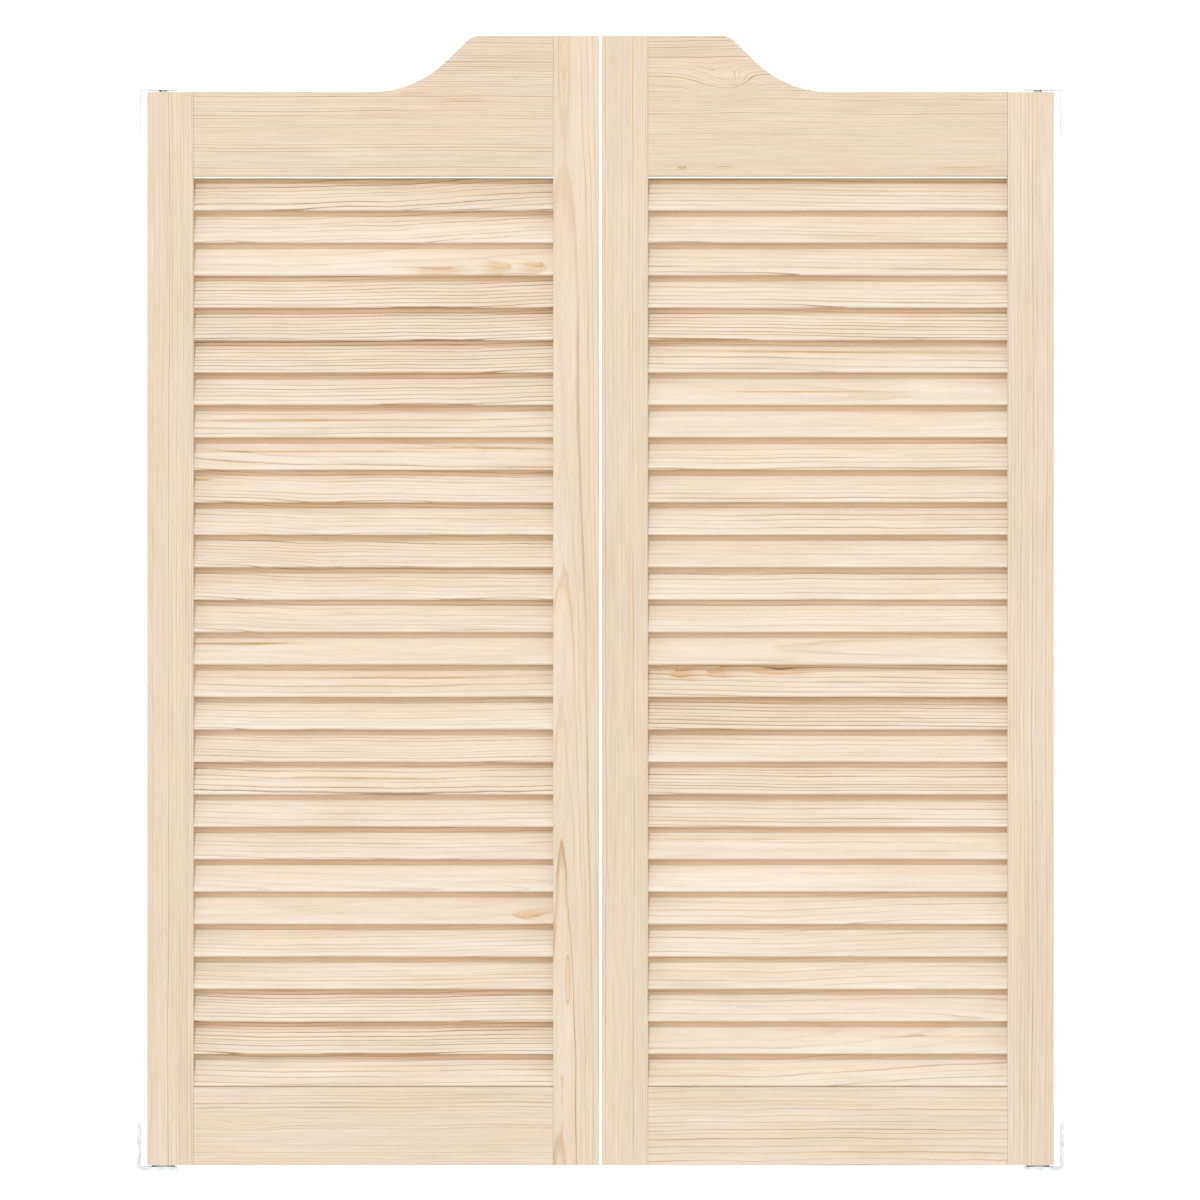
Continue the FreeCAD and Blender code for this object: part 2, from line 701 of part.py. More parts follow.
def spring_barrel(side_name, side):
    """A tube on a plate, which the stile's recess takes flush with the leaf's underside."""
    body = new_body(side_name, "spring_barrel")
    tube = new_sketch(body, "XY_Plane", lift="places.leaf_bottom")
    add_circle(tube, "0", "0", "sizes.barrel_radius")
    pad(body, tube, "places.barrel_top - places.leaf_bottom")
    plate = new_sketch(body, "XY_Plane", lift="places.leaf_bottom")
    plate_outline(plate, side, "0")
    pad(body, plate, "sizes.plate_thickness")
    bore = new_sketch(body, "XY_Plane", lift="places.plate_top")
    add_circle(bore, "0", "0", "places.barrel_bore")
    pocket(body, bore, "places.barrel_top - places.plate_top")
    journal = new_sketch(body, "XY_Plane", lift="places.leaf_bottom")
    add_circle(journal, "0", "0", "sizes.journal_radius + sizes.running_clearance")
    pocket(body, journal, "sizes.plate_thickness")
    clearance = "sizes.running_clearance"
    profile = [
        ("0", "0"),
        (f"places.screw_head_radius + {clearance}", "0"),
        (f"places.screw_radius + {clearance}", "places.screw_head_height"),
        (f"places.screw_radius + {clearance}", "sizes.plate_thickness"),
        ("0", "sizes.plate_thickness"),
    ]
    hole = screw_sketch(body, side)
    add_outline(hole, profile)
    mirrored(body, turned(body, "Groove", hole, "V_Axis"), "XZ_Plane")
    put_on_pivot(body, side)


def screw_sketch(body, side):
    """The upright plane through one plate screw, with its V axis on the screw's axis."""
    along = outward(-side, "places.screw_place")
    lift = "sizes.screw_side_distance"
    return new_sketch(body, "XZ_Plane", along=along, up="places.leaf_bottom", lift=lift)


def barrel_screws(side_name, side):
    """Two countersunk wood screws, with their heads flush in the plate."""
    body = new_body(side_name, "barrel_screws")
    profile = [
        ("0", "0"),
        ("places.screw_head_radius", "0"),
        ("places.screw_radius", "places.screw_head_height"),
        ("places.screw_radius", "sizes.screw_length - sizes.screw_tip"),
        ("0", "sizes.screw_length"),
    ]
    sketch = screw_sketch(body, side)
    add_outline(sketch, profile)
    mirrored(body, turned(body, "Revolution", sketch, "V_Axis"), "XZ_Plane")
    put_on_pivot(body, side)


def barrel_cap(side_name, side):
    """The disc that closes the barrel, guides the shaft and holds the spring's upper end."""
    body = new_body(side_name, "barrel_cap")
    sketch = new_sketch(body, "XY_Plane", lift="places.cap_bottom")
    add_circle(sketch, "0", "0", "places.barrel_bore")
    add_circle(sketch, "0", "0", "sizes.shaft_radius + sizes.running_clearance")
    pad(body, sketch, "sizes.cap_thickness")
    tang_hole(body, "places.cap_bottom", 1)
    put_on_pivot(body, side)


def coil(body, side, wire, radius, bottom, height, turns):
    """A helical spring whose first turn starts on the given height."""
    section = new_sketch(body, "XZ_Plane", up=f"{bottom} + {wire} / 2")
    add_circle(section, radius, "0", f"{wire} / 2")
    helix(body, section, height, turns)


def centring_spring(side_name, side):
    """The torsion spring that brings the leaf back, with a straight tang at each end."""
    body = new_body(side_name, "centring_spring")
    wire = "sizes.spring_wire"
    turns, height = "sizes.spring_turns", "places.spring_height"
    coil(body, side, wire, "places.spring_radius", "places.collar_top", height, turns)
    middle = f"places.collar_top + {wire} / 2"
    for lift, direction in ((middle, -1), (f"{middle} + {height}", 1)):
        sketch = new_sketch(body, "XY_Plane", lift=lift)
        add_circle(sketch, "places.spring_radius", "0", f"{wire} / 2")
        pad(body, sketch, f"{wire} / 2 + sizes.tang_depth", direction)
    put_on_pivot(body, side)


def top_sleeve(side_name, side):
    """A nylon bush with a flange, and an eye that holds the pin's shoulder down."""
    body = new_body(side_name, "top_sleeve")
    flange = "-sizes.sleeve_flange_thickness"
    profile = [
        ("places.sleeve_eye", "0"),
        ("sizes.sleeve_flange_radius", "0"),
        ("sizes.sleeve_flange_radius", flange),
        ("places.sleeve_radius", flange),
        ("places.sleeve_radius", "-sizes.sleeve_length"),
        ("places.sleeve_bore", "-sizes.sleeve_length"),
        ("places.sleeve_bore", flange),
        ("places.sleeve_eye", flange),
    ]
    sketch = new_sketch(body, "XZ_Plane")
    add_outline(sketch, profile)
    turned(body, "Revolution", sketch, "V_Axis")
    put_on_pivot(body, side, "places.hinge_top")


def top_pin(side_name, side):
    """The sprung pin: its tip stands in the top bracket and its shoulder in the sleeve."""
    body = new_body(side_name, "top_pin")
    shoulder = "-sizes.sleeve_flange_thickness"
    profile = [
        ("0", "places.pin_bottom"),
        ("sizes.pin_radius", "places.pin_bottom"),
        ("sizes.pin_radius", shoulder),
        ("sizes.pin_tip_radius", shoulder),
        ("sizes.pin_tip_radius", "places.pin_tip_top - sizes.pin_chamfer"),
        ("sizes.pin_tip_radius - sizes.pin_chamfer", "places.pin_tip_top"),
        ("0", "places.pin_tip_top"),
    ]
    sketch = new_sketch(body, "XZ_Plane")
    add_outline(sketch, profile)
    turned(body, "Revolution", sketch, "V_Axis")
    put_on_pivot(body, side, "places.hinge_top")


def pin_spring(side_name, side):
    """The compression spring between the floor of the sleeve's bore and the pin."""
    body = new_body(side_name, "pin_spring")
    wire, radius = "sizes.pin_spring_wire", "places.pin_spring_radius"
    turns, height = "sizes.pin_spring_turns", "places.pin_spring_height"
    coil(body, side, wire, radius, "-sizes.sleeve_length", height, turns)
    put_on_pivot(body, side, "places.hinge_top")


# ---- The pair of leaves ----

PIECES = (
    hinge_stile, meeting_stile, top_rail, bottom_rail, rail_dowels,
    bottom_bracket, spindle, thrust_washer, spring_barrel, barrel_cap,
    centring_spring, barrel_screws, top_bracket, top_sleeve, top_pin, pin_spring,
)


def build():
    slat_count = SIZES["slat_count"]
    for side_name, side in SIDES.items():
        for make_piece in PIECES:
            make_piece(side_name, side)
        for first in range(1, slat_count + 1, SLATS_IN_A_NODE):
            count = min(SLATS_IN_A_NODE, slat_count + 1 - first)
            slats(side_name, side, first, count)
    doc.recompute()


def check():
    """Stops where an object failed, a piece has no valid shape or a cut removed nothing."""
    for item in doc.Objects:
        if "Invalid" in item.State or "Error" in item.State:
            raise RuntimeError(f"{item.Name}: {item.State}")
        if item.isDerivedFrom("PartDesign::Pocket") or item.isDerivedFrom("PartDesign::Groove"):
            if not item.Shape.Volume < item.BaseFeature.Shape.Volume:
                raise RuntimeError(f"{item.Name} cuts nothing")
    for body in doc.findObjects("PartDesign::Body"):
        if body.Shape.isNull() or not body.Shape.isValid():
            raise RuntimeError(f"{body.Label} has no valid shape")


def export():
    os.makedirs("parts", exist_ok=True)
    for body in doc.findObjects("PartDesign::Body"):
        body.Shape.exportStep(f"parts/{body.Label}.step")


build()
check()
export()
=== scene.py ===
# %% [markdown]
# # Cafe swinging doors in bare pine
#
# Two louvred leaves hang side by side in a doorway and swing both ways on sprung pivots. Each leaf is a
# frame of two stiles and two rails, with 28 fixed slats let into the stiles. The wood is bare, pale
# softwood, so almost all of the look is grain: every board came from another place in the log.
#
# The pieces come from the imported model, in metres, with the doors facing -Y. This lesson leaves them
# where they are. It gives every board its own grain, remakes the slats with a slight bow, finishes the
# metal, and remakes the springs and two screws, which a plain solid can't show well. The camera and
# the lights come first, because every finish is judged under them.

# %% Load the model
import json
import math

import bpy
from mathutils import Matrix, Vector


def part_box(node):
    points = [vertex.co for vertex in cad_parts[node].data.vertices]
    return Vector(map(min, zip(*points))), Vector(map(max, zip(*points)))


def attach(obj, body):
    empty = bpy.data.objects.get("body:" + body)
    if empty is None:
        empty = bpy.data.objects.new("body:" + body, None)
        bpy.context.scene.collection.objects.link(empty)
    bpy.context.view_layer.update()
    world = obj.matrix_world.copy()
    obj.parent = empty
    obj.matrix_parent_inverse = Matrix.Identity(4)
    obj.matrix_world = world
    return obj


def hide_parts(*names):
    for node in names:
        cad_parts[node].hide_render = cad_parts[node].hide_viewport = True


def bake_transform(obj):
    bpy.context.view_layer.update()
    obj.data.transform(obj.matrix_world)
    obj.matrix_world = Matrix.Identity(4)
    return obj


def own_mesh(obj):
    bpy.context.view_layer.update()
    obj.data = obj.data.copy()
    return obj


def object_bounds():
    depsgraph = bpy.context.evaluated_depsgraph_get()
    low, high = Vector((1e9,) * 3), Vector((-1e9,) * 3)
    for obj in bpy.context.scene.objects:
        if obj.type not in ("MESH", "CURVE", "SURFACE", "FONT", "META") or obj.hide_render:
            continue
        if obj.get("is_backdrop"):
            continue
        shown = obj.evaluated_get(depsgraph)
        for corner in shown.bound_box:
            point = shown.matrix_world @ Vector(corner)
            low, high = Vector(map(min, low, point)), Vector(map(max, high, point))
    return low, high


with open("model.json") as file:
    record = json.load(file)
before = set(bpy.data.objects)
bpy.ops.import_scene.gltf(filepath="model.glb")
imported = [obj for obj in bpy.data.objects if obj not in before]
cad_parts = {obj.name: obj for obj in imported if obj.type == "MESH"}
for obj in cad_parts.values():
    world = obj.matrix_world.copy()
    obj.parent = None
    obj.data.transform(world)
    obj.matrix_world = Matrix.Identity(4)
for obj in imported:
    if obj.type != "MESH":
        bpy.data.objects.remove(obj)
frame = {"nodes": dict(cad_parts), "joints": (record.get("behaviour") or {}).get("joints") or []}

cad_low, cad_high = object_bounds()
MM = 0.001
print("model box in mm:", [round(v / MM, 1) for v in (*cad_low, *cad_high)])

# %% [markdown]
# ## The camera
#
# The doors are seen straight on, with no perspective to speak of: the slots between the slats look
# the same from top to bottom. An orthographic camera would do this, but a long lens far away does it
# too, and also behaves like a real camera when it moves round the doors. The lens follows from the
# distance and from the width that the square picture has to cover.

# %% Camera
PICTURE_WIDTH = 1133.1 * MM
PICTURE_CENTRE = Vector((-0.5 * MM, 0.0, 538.4 * MM))
CAMERA_DISTANCE = 20.0
SENSOR_WIDTH = 36.0

camera = bpy.data.objects.new("camera", bpy.data.cameras.new("camera"))
camera.data.sensor_width = SENSOR_WIDTH
camera.data.lens = SENSOR_WIDTH * CAMERA_DISTANCE / PICTURE_WIDTH
camera.data.clip_end = 100.0
camera.location = (PICTURE_CENTRE.x, cad_low.y - CAMERA_DISTANCE, PICTURE_CENTRE.z)
camera.rotation_euler = (math.radians(90), 0, 0)
bpy.context.scene.collection.objects.link(camera)
bpy.context.scene.camera = camera
print("lens in mm:", round(camera.data.lens, 1))

# %% [markdown]
# ## The light and the floor
#
# Pale wood on white needs two kinds of light. White walls all round fill every gap between the
# slats, so nothing turns black. The ceiling is darker than the walls: a slat faces up as much as it
# faces forward, and a bright ceiling would wash out the shade under the next slat. One broad lamp in
# front, a little to the left and above, draws the crisp band of shadow under the nose of each slat.
# How deep that band is depends only on how high the lamp stands.
#
# A sun lamp has parallel rays, so all slats get the same band. Its angle sets how soft the edge is.
#
# Blender's usual display of colours softens whites to grey. The plain display is used here, so that
# white stays white and a wood colour comes out as it was mixed.

# %% Light and floor
WALL_STRENGTH = 1.25
CEILING_STRENGTH = 0.4
CEILING_STARTS = math.radians(5)
SUN_STRENGTH = 1.2
SUN_HEIGHT = math.radians(21)
SUN_LEFT = math.radians(6)
SUN_SOFTNESS = math.radians(3)
FLOOR_DROP = 0.3
FLOOR_RADIUS = 8.5
FLOOR_SIDES = 96
FLOOR_TONE = 0.9
FLOOR_ROUGHNESS = 0.9

world = bpy.data.worlds.new("studio")
world.use_nodes = True
sky = world.node_tree
direction = sky.nodes.new("ShaderNodeTexCoord")
height = sky.nodes.new("ShaderNodeSeparateXYZ")
fall = sky.nodes.new("ShaderNodeMapRange")
fall.interpolation_type = "SMOOTHSTEP"
fall.inputs["From Min"].default_value = math.sin(CEILING_STARTS)
fall.inputs["To Min"].default_value = WALL_STRENGTH
fall.inputs["To Max"].default_value = CEILING_STRENGTH
sky.links.new(direction.outputs["Generated"], height.inputs["Vector"])
sky.links.new(height.outputs["Z"], fall.inputs["Value"])
sky.links.new(fall.outputs["Result"], sky.nodes["Background"].inputs["Strength"])
sky.nodes["Background"].inputs["Color"].default_value = (1, 1, 1, 1)
bpy.context.scene.world = world
bpy.context.scene.view_settings.view_transform = "Standard"

sun = bpy.data.objects.new("sun", bpy.data.lights.new("sun", "SUN"))
sun.data.energy = SUN_STRENGTH
sun.data.angle = SUN_SOFTNESS
light_goes = Vector((
    math.sin(SUN_LEFT) * math.cos(SUN_HEIGHT),
    math.cos(SUN_LEFT) * math.cos(SUN_HEIGHT),
    -math.sin(SUN_HEIGHT),
))
sun.rotation_euler = light_goes.to_track_quat("-Z", "Y").to_euler()
bpy.context.scene.collection.objects.link(sun)

bpy.ops.mesh.primitive_circle_add(
    vertices=FLOOR_SIDES, radius=FLOOR_RADIUS, fill_type="NGON",
    location=(0, 0, cad_low.z - FLOOR_DROP),
)
floor = bpy.context.object
floor.name = "floor"
floor_paint = bpy.data.materials.new("floor paint")
floor_paint.use_nodes = True
floor_shader = floor_paint.node_tree.nodes["Principled BSDF"]
floor_shader.inputs["Base Color"].default_value = (FLOOR_TONE, FLOOR_TONE, FLOOR_TONE, 1)
floor_shader.inputs["Roughness"].default_value = FLOOR_ROUGHNESS
floor.data.materials.append(floor_paint)
floor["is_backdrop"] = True
print("sun height and side in degrees:", round(math.degrees(SUN_HEIGHT)), round(math.degrees(SUN_LEFT)))

# %% [markdown]
# ## Writing formulas as nodes
#
# The grain of wood is a formula, and Blender writes formulas as nodes. Adding a hundred Math nodes by
# hand hides the formula, so two small helpers come first. `place` adds a node and feeds its inputs.
# `Number` wraps one output, so that `a * b + 2` in the script becomes the two Math nodes it needs.

# %% Node helpers
def feed(tree, socket, value):
    """Links value to socket if it is another node's output, and otherwise sets it as a constant."""
    if isinstance(value, Number):
        value = value.output
    if isinstance(value, bpy.types.NodeSocket):
        tree.links.new(value, socket)
    else:
        socket.default_value = value


def place(tree, kind, feeds=None, **options):
    """Adds a node with its options set, and feeds its inputs by name or by number."""
    node = tree.nodes.new(kind)
    for option, value in options.items():
        setattr(node, option, value)
    for name, value in (feeds or {}).items():
        feed(tree, node.inputs[name], value)
    return node


class Number:
    """One number that varies over the surface. Each sign in a formula adds a Math node."""

    def __init__(self, tree, output):
        self.tree = tree
        self.output = output

    def do(self, operation, *others):
        """Adds a Math node for any other operation, such as a square root."""
        feeds = dict(enumerate((self, *others)))
        node = place(self.tree, "ShaderNodeMath", feeds, operation=operation)
        return Number(self.tree, node.outputs[0])

    def __add__(self, other):
        return self.do("ADD", other)

    def __sub__(self, other):
        return self.do("SUBTRACT", other)

    def __mul__(self, other):
        return self.do("MULTIPLY", other)

    def __truediv__(self, other):
        return self.do("DIVIDE", other)

    def at_most(self, limit):
        return self.do("MINIMUM", limit)

    def at_least(self, limit):
        return self.do("MAXIMUM", limit)

    def ramp(self, start, end, low=0.0, high=1.0):
        """Goes smoothly from low to high while this number goes from start to end."""
        feeds = {"Value": self, "From Min": start, "From Max": end, "To Min": low, "To Max": high}
        node = place(self.tree, "ShaderNodeMapRange", feeds, interpolation_type="SMOOTHSTEP")
        return Number(self.tree, node.outputs["Result"])


def vector_of(tree, x=0.0, y=0.0, z=0.0):
    """Three numbers joined into one place."""
    return place(tree, "ShaderNodeCombineXYZ", {"X": x, "Y": y, "Z": z}).outputs["Vector"]


def parts_of(tree, vector):
    """A place split into its three numbers."""
    node = place(tree, "ShaderNodeSeparateXYZ", {"Vector": vector})
    return [Number(tree, output) for output in node.outputs]


def noise(tree, vector, detail=2.0, roughness=0.5):
    """Soft noise from about -0.5 to 0.5, with one bump for each unit of the vector."""
    feeds = {"Vector": vector, "Scale": 1.0, "Detail": detail, "Roughness": roughness}
    return Number(tree, place(tree, "ShaderNodeTexNoise", feeds).outputs["Fac"]) - 0.5


def dice(tree, number):
    """Three even random numbers from 0 to 1 that stay the same for the same number."""
    node = place(tree, "ShaderNodeTexWhiteNoise", {"W": number}, noise_dimensions="1D")
    return parts_of(tree, node.outputs["Color"])


def mixed(tree, factor, first, second, blend_type="MIX"):
    """Two colours mixed by a factor."""
    node = place(tree, "ShaderNodeMix", data_type="RGBA", blend_type=blend_type)
    sockets = {socket.identifier: socket for socket in node.inputs}
    feed(tree, sockets["Factor_Float"], factor)
    feed(tree, sockets["A_Color"], first)
    feed(tree, sockets["B_Color"], second)
    return next(socket for socket in node.outputs if socket.identifier == "Result_Color")


def new_group(name, inputs, outputs):
    """An empty shader group. Returns the group, its inputs as numbers or sockets, and its outputs."""
    group = bpy.data.node_groups.new(name, "ShaderNodeTree")
    kinds = {float: "NodeSocketFloat", tuple: "NodeSocketColor", Vector: "NodeSocketVector"}
    for label, start in inputs.items():
        socket = group.interface.new_socket(label, in_out="INPUT", socket_type=kinds[type(start)])
        socket.default_value = start
    for label, kind in outputs.items():
        group.interface.new_socket(label, in_out="OUTPUT", socket_type=kinds[kind])
    given = {}
    for socket in group.nodes.new("NodeGroupInput").outputs:
        given[socket.name] = Number(group, socket) if socket.type == "VALUE" else socket
    return group, given, group.nodes.new("NodeGroupOutput").inputs


def use_group(tree, group, feeds):
    """Places a shader group in a tree and returns its outputs by name."""
    node = place(tree, "ShaderNodeGroup", node_tree=group)
    for name, value in feeds.items():
        feed(tree, node.inputs[name], value)
    return node.outputs


# %% [markdown]
# ## Pine grain
#
# A tree lays down one ring a year round its pith. Each ring starts pale and wide in spring, darkens
# through the summer and stops sharply, so a cut across it is a saw tooth: a slow rise, then a drop.
# A board shows those rings where its face slices through them. So the group needs only the distance
# from each point of the board to the pith, and every pattern of real boards follows from it:
#
# - a pith far to one side gives straight, parallel lines;
# - a pith close under the face gives wide flames, which close where the log tapers;
# - a pith that wanders gives the waves.
#
# An image of wood would be quicker, but it would repeat on 56 slats, and it would not agree between
# a board's face, its edge and its end grain. A formula in 3-D agrees everywhere.
#
# Board coordinates are metres: x runs along the grain, y across the face and z into the board.

# %% Colours of pine
FRAME_PINE = (0.674, 0.560, 0.438, 1.0)
SLAT_PINE = (0.775, 0.681, 0.569, 1.0)
WARM_PINE = (0.735, 0.535, 0.345, 1.0)
LATE_PINE = (0.335, 0.240, 0.150, 1.0)
WARM_LATE_PINE = (0.450, 0.262, 0.112, 1.0)
RESIN = (0.650, 0.400, 0.180, 1.0)
PLAIN = (1.0, 1.0, 1.0, 1.0)
print("pale pine:", FRAME_PINE[:3], "late pine:", LATE_PINE[:3])


# %% Places and patterns on a board
class Board:
    """The inside of a group that knows where it is on a board: along, across and into it."""

    def __init__(self, group, given):
        self.group = group
        self.given = given
        self.along, self.across, self.deep = parts_of(group, given["Board"])

    def pattern(self, bumps_along, bumps_across, shift=0.0, detail=2.0, roughness=0.5):
        """Noise drawn out along the grain, in bumps per metre. A shift keeps two patterns apart."""
        inwards = self.deep * bumps_across + self.given["Seed"] + shift
        spot = vector_of(self.group, self.along * bumps_along, self.across * bumps_across, inwards)
        return noise(self.group, spot, detail, roughness)

    def stray(self, bumps_along, row):
        """How far the pith strays from its line, up the log."""
        spot = vector_of(self.group, self.along * bumps_along, self.given["Seed"], row)
        return noise(self.group, spot, detail=1.5) * self.given["Waver"]


# %% Year rings
# How often the pith strays in a metre of log, and how far, as times the board's Waver.
STRAYS_SIDEWAYS = 4.1
STRAYS_INWARDS = 3.3
SIDEWAYS_REACH = 5.0
INWARD_REACH = 6.0

# Small ripples, so that no line is ruled: bumps per metre along and across, and their size.
RIPPLES = (13.0, 50.0)
RIPPLE_REACH = 1.1
LEAST_RIPPLE = 0.6 * MM

# Good and lean years, so that some rings are wide and some are narrow: how often, and by how much.
LEAN_YEARS = 0.4
LEAN_REACH = 2.2

# A year goes from 0 to 1. Summer wood builds up to a dark line, and the year stops sharply.
SUMMER = (0.25, 0.92)
DARK_LINE = (0.74, 0.93)
YEAR_END = (0.94, 1.0)


def pith_distance(board):
    """Each point's distance from the pith, and how upright the rings stand there, from 0 to 1."""
    given = board.given
    side = board.across - given["Pith Across"] - given["Slope"] * board.along
    side = side - board.stray(STRAYS_SIDEWAYS, 0.5) * SIDEWAYS_REACH
    inward = board.deep - given["Pith Deep"] - given["Taper"] * board.along
    inward = inward - board.stray(STRAYS_INWARDS, 7.5) * INWARD_REACH
    distance = (side * side + inward * inward).do("SQRT")
    ripple = board.pattern(*RIPPLES, detail=3.0, roughness=0.55)
    distance = distance + ripple * (given["Waver"] * RIPPLE_REACH + LEAST_RIPPLE) + given["Swirl"]
    return distance, (side / distance).do("ABSOLUTE")


def year_rings(board, distance):
    """Each point's ring number, its share of summer wood and its share of the dark line."""
    years = distance / board.given["Ring Width"]
    spot = vector_of(board.group, years * LEAN_YEARS, board.given["Seed"], 3.5)
    years = years + noise(board.group, spot, detail=1.0) * LEAN_REACH
    season = years.do("FRACT")
    stop = season.ramp(*YEAR_END, 1.0, 0.0)
    return years.do("FLOOR"), season.ramp(*SUMMER) * stop, season.ramp(*DARK_LINE) * stop


# %% Strengths of the grain
# Patterns that cross the rings, in bumps per metre along the grain and across it.
FIBRES_ALONG = 18.0
FRAME_FIBRES = 430.0
CLOUDS = (5.0, 40.0)
WARM_CLOUDS = (6.0, 90.0)
HUES = (3.0, 150.0)
RESIN_DUCTS = (130.0, 1900.0)

# A dark line fades and comes back along the board: how often in a metre.
FADES = 9.0

# Ramps: between the first two values of a pattern, the strength goes from the third to the fourth.
FADE_RAMP = (-0.22, 0.18, 0.35, 1.15)
WARM_RAMP = (-0.05, 0.30, 0.0, 1.0)
DUCT_RAMP = (0.20, 0.30, 0.0, 0.25)
FLAT_RING_LINES = (0.0, 0.5, 0.5, 1.0)
FLAT_RING_WARMTH = (0.1, 0.5, 0.9, 0.0)

# How strong these are, from none at 0 to full at 1. The pairs are the least and what luck adds.
LINE = (0.42, 1.3)
GLOW = (0.4, 0.6)
GLOW_WARMTH = 0.42
CLOUD_WARMTH = 0.30
LINE_IN_STAIN = 0.9
STAIN_IN_SPRING = 0.7
STAIN_IN_SUMMER = 0.3

# Fibres and end grain are darker all alike. Clouds and whole boards differ most in blue.
FIBRE_SHADE = 0.20
END_GRAIN_SHADE = 0.16
CLOUD_TINT = 0.17
FIBRE_TINT = 0.11
BOARD_TINT = 0.020
GREEN_TINT = 1.5
BLUE_TINT = 2.3
RED_HUE = 0.02
GREEN_HUE = -0.02
BLUE_HUE = 0.03

# Lines stand up a little and are smoother, because late wood is hard. Fibres are rough.
LINE_RELIEF = 0.6
FIBRE_RELIEF = 0.5
PINE_ROUGHNESS = 0.64
LINE_SMOOTHNESS = 0.10
FIBRE_ROUGHNESS = 0.12
print("fibres in a metre:", FRAME_FIBRES, "resin ducts in a metre:", RESIN_DUCTS[1])


# %% Pine grain group
def make_pine_grain():
    """The rings, fibres, resin ducts and soft shading of one pine board, and a painted light tint over
    them.
    """
    inputs = {
        "Board": Vector((0, 0, 0)),
        "Pale Wood": FRAME_PINE,
        "Seed": 0.0,
        "Pith Across": 0.05,
        "Pith Deep": 0.05,
        "Ring Width": 0.004,
        "Slope": 0.0,
        "Taper": 0.0,
        "Waver": 0.002,
        "Line Strength": 0.6,
        "Fibres": FRAME_FIBRES,
        "Tone": 0.0,
        "Swirl": 0.0,
        "Stain": 0.0,
        "End Grain": 0.0,
        # A tint of painted light and shade laid over the wood; plain white leaves the wood as it is.
        "Cast": PLAIN,
    }
    outputs = {"Color": tuple, "Height": float, "Roughness": float}
    group, given, made = new_group("pine grain", inputs, outputs)
    board = Board(group, given)
    distance, upright = pith_distance(board)
    ring, summer, late = year_rings(board, distance)

    # Each ring has its own darkness. Lines are faint where the rings lie flat in the face. The
    # factors of the seed and the ring may be any odd numbers, which keep the throws apart.
    luck = dice(group, ring + given["Seed"] * 3.7)
    bold = luck[0] * luck[0] * luck[0]
    spot = vector_of(group, board.along * FADES, ring * 5.3, given["Seed"])
    fade = noise(group, spot, detail=3.0).ramp(*FADE_RAMP)
    strength = (given["Line Strength"] + given["Stain"] * LINE_IN_STAIN) * fade
    line = late * (bold * LINE[1] + LINE[0]) * strength * upright.ramp(*FLAT_RING_LINES)
    glow = summer * (luck[1] * GLOW[1] + GLOW[0]) * strength

    # Fibres a millimetre or two wide, and broad clouds of warmer and paler wood.
    fibre = board.pattern(FIBRES_ALONG, given["Fibres"], detail=4.0, roughness=0.65)
    hue = board.pattern(*HUES, shift=80.0)
    cloud = board.pattern(*CLOUDS, detail=3.0)
    warm = board.pattern(*WARM_CLOUDS, shift=40.0).ramp(*WARM_RAMP)
    duct = board.pattern(*RESIN_DUCTS, detail=1.0).ramp(*DUCT_RAMP)

    # Each mix lays one thing over the wood so far. Lines in flat rings and in warm wood are orange.
    warmth = (warm + bold * luck[2] + upright.ramp(*FLAT_RING_WARMTH)).at_most(1.0)
    late_colour = mixed(group, warmth, LATE_PINE, WARM_LATE_PINE)
    colour = mixed(group, warm * CLOUD_WARMTH, given["Pale Wood"], WARM_PINE)
    colour = mixed(group, glow.at_most(1.0) * GLOW_WARMTH, colour, WARM_PINE)
    stain = given["Stain"] * (summer * STAIN_IN_SUMMER + STAIN_IN_SPRING)
    colour = mixed(group, stain.at_most(1.0), colour, RESIN)
    colour = mixed(group, line.at_most(1.0), colour, late_colour)
    colour = mixed(group, duct, colour, LATE_PINE)

    grey = fibre * FIBRE_SHADE - given["End Grain"] * END_GRAIN_SHADE + 1.0
    tint = cloud * CLOUD_TINT + fibre * FIBRE_TINT + given["Tone"] * BOARD_TINT
    shade = place(group, "ShaderNodeCombineColor", {
        "Red": grey + tint + hue * RED_HUE,
        "Green": grey + tint * GREEN_TINT + hue * GREEN_HUE,
        "Blue": grey + tint * BLUE_TINT + hue * BLUE_HUE,
    })
    colour = mixed(group, 1.0, colour, shade.outputs["Color"], blend_type="MULTIPLY")
    # Painted light: a tint over the whole colour that stands in for bounced light and shade, where one is
    # given.
    colour = mixed(group, 1.0, colour, given["Cast"], blend_type="MULTIPLY")

    feed(group, made["Color"], colour)
    roughness = fibre * FIBRE_ROUGHNESS - line * LINE_SMOOTHNESS + PINE_ROUGHNESS
    feed(group, made["Height"], line * LINE_RELIEF + fibre * FIBRE_RELIEF - duct)
    feed(group, made["Roughness"], roughness)
    return group


pine_grain = make_pine_grain()
print("pine grain nodes:", len(pine_grain.nodes))

# %% [markdown]
# ## Knot streaks
#
# Where a branch passed just under the face, the rings bulge round it and the wood holds more resin.
# On the board it shows as a small flame: a few closed rings inside each other, stained orange. A
# resin streak is the same thing drawn out long and thin, with more stain and less bulge. The group
# adds a smooth hump to the distance from the pith, which bends the very same rings, and gives the
# stain beside it. Painting a separate spot would look like a sticker; a hump cannot.
#
# Some knots end in a crescent: stained wood that fades in slowly and stops at a round, crisp edge.
# Tip makes one. Above 1 it squeezes one end of the hump and bends that edge round.

# %% Knot streak group
# The edge of a streak is ragged: bumps per metre along and across the grain, and how far it strays.
RAGGED = (60.0, 160.0)
RAGGED_REACH = 0.5
TIP_BEND = 0.3

# The stain is full in the middle of the hump, and patchy: its usual share, and what varies.
STAIN_FILL = 1.8
STAIN_PATCHES = (0.9, 1.2)


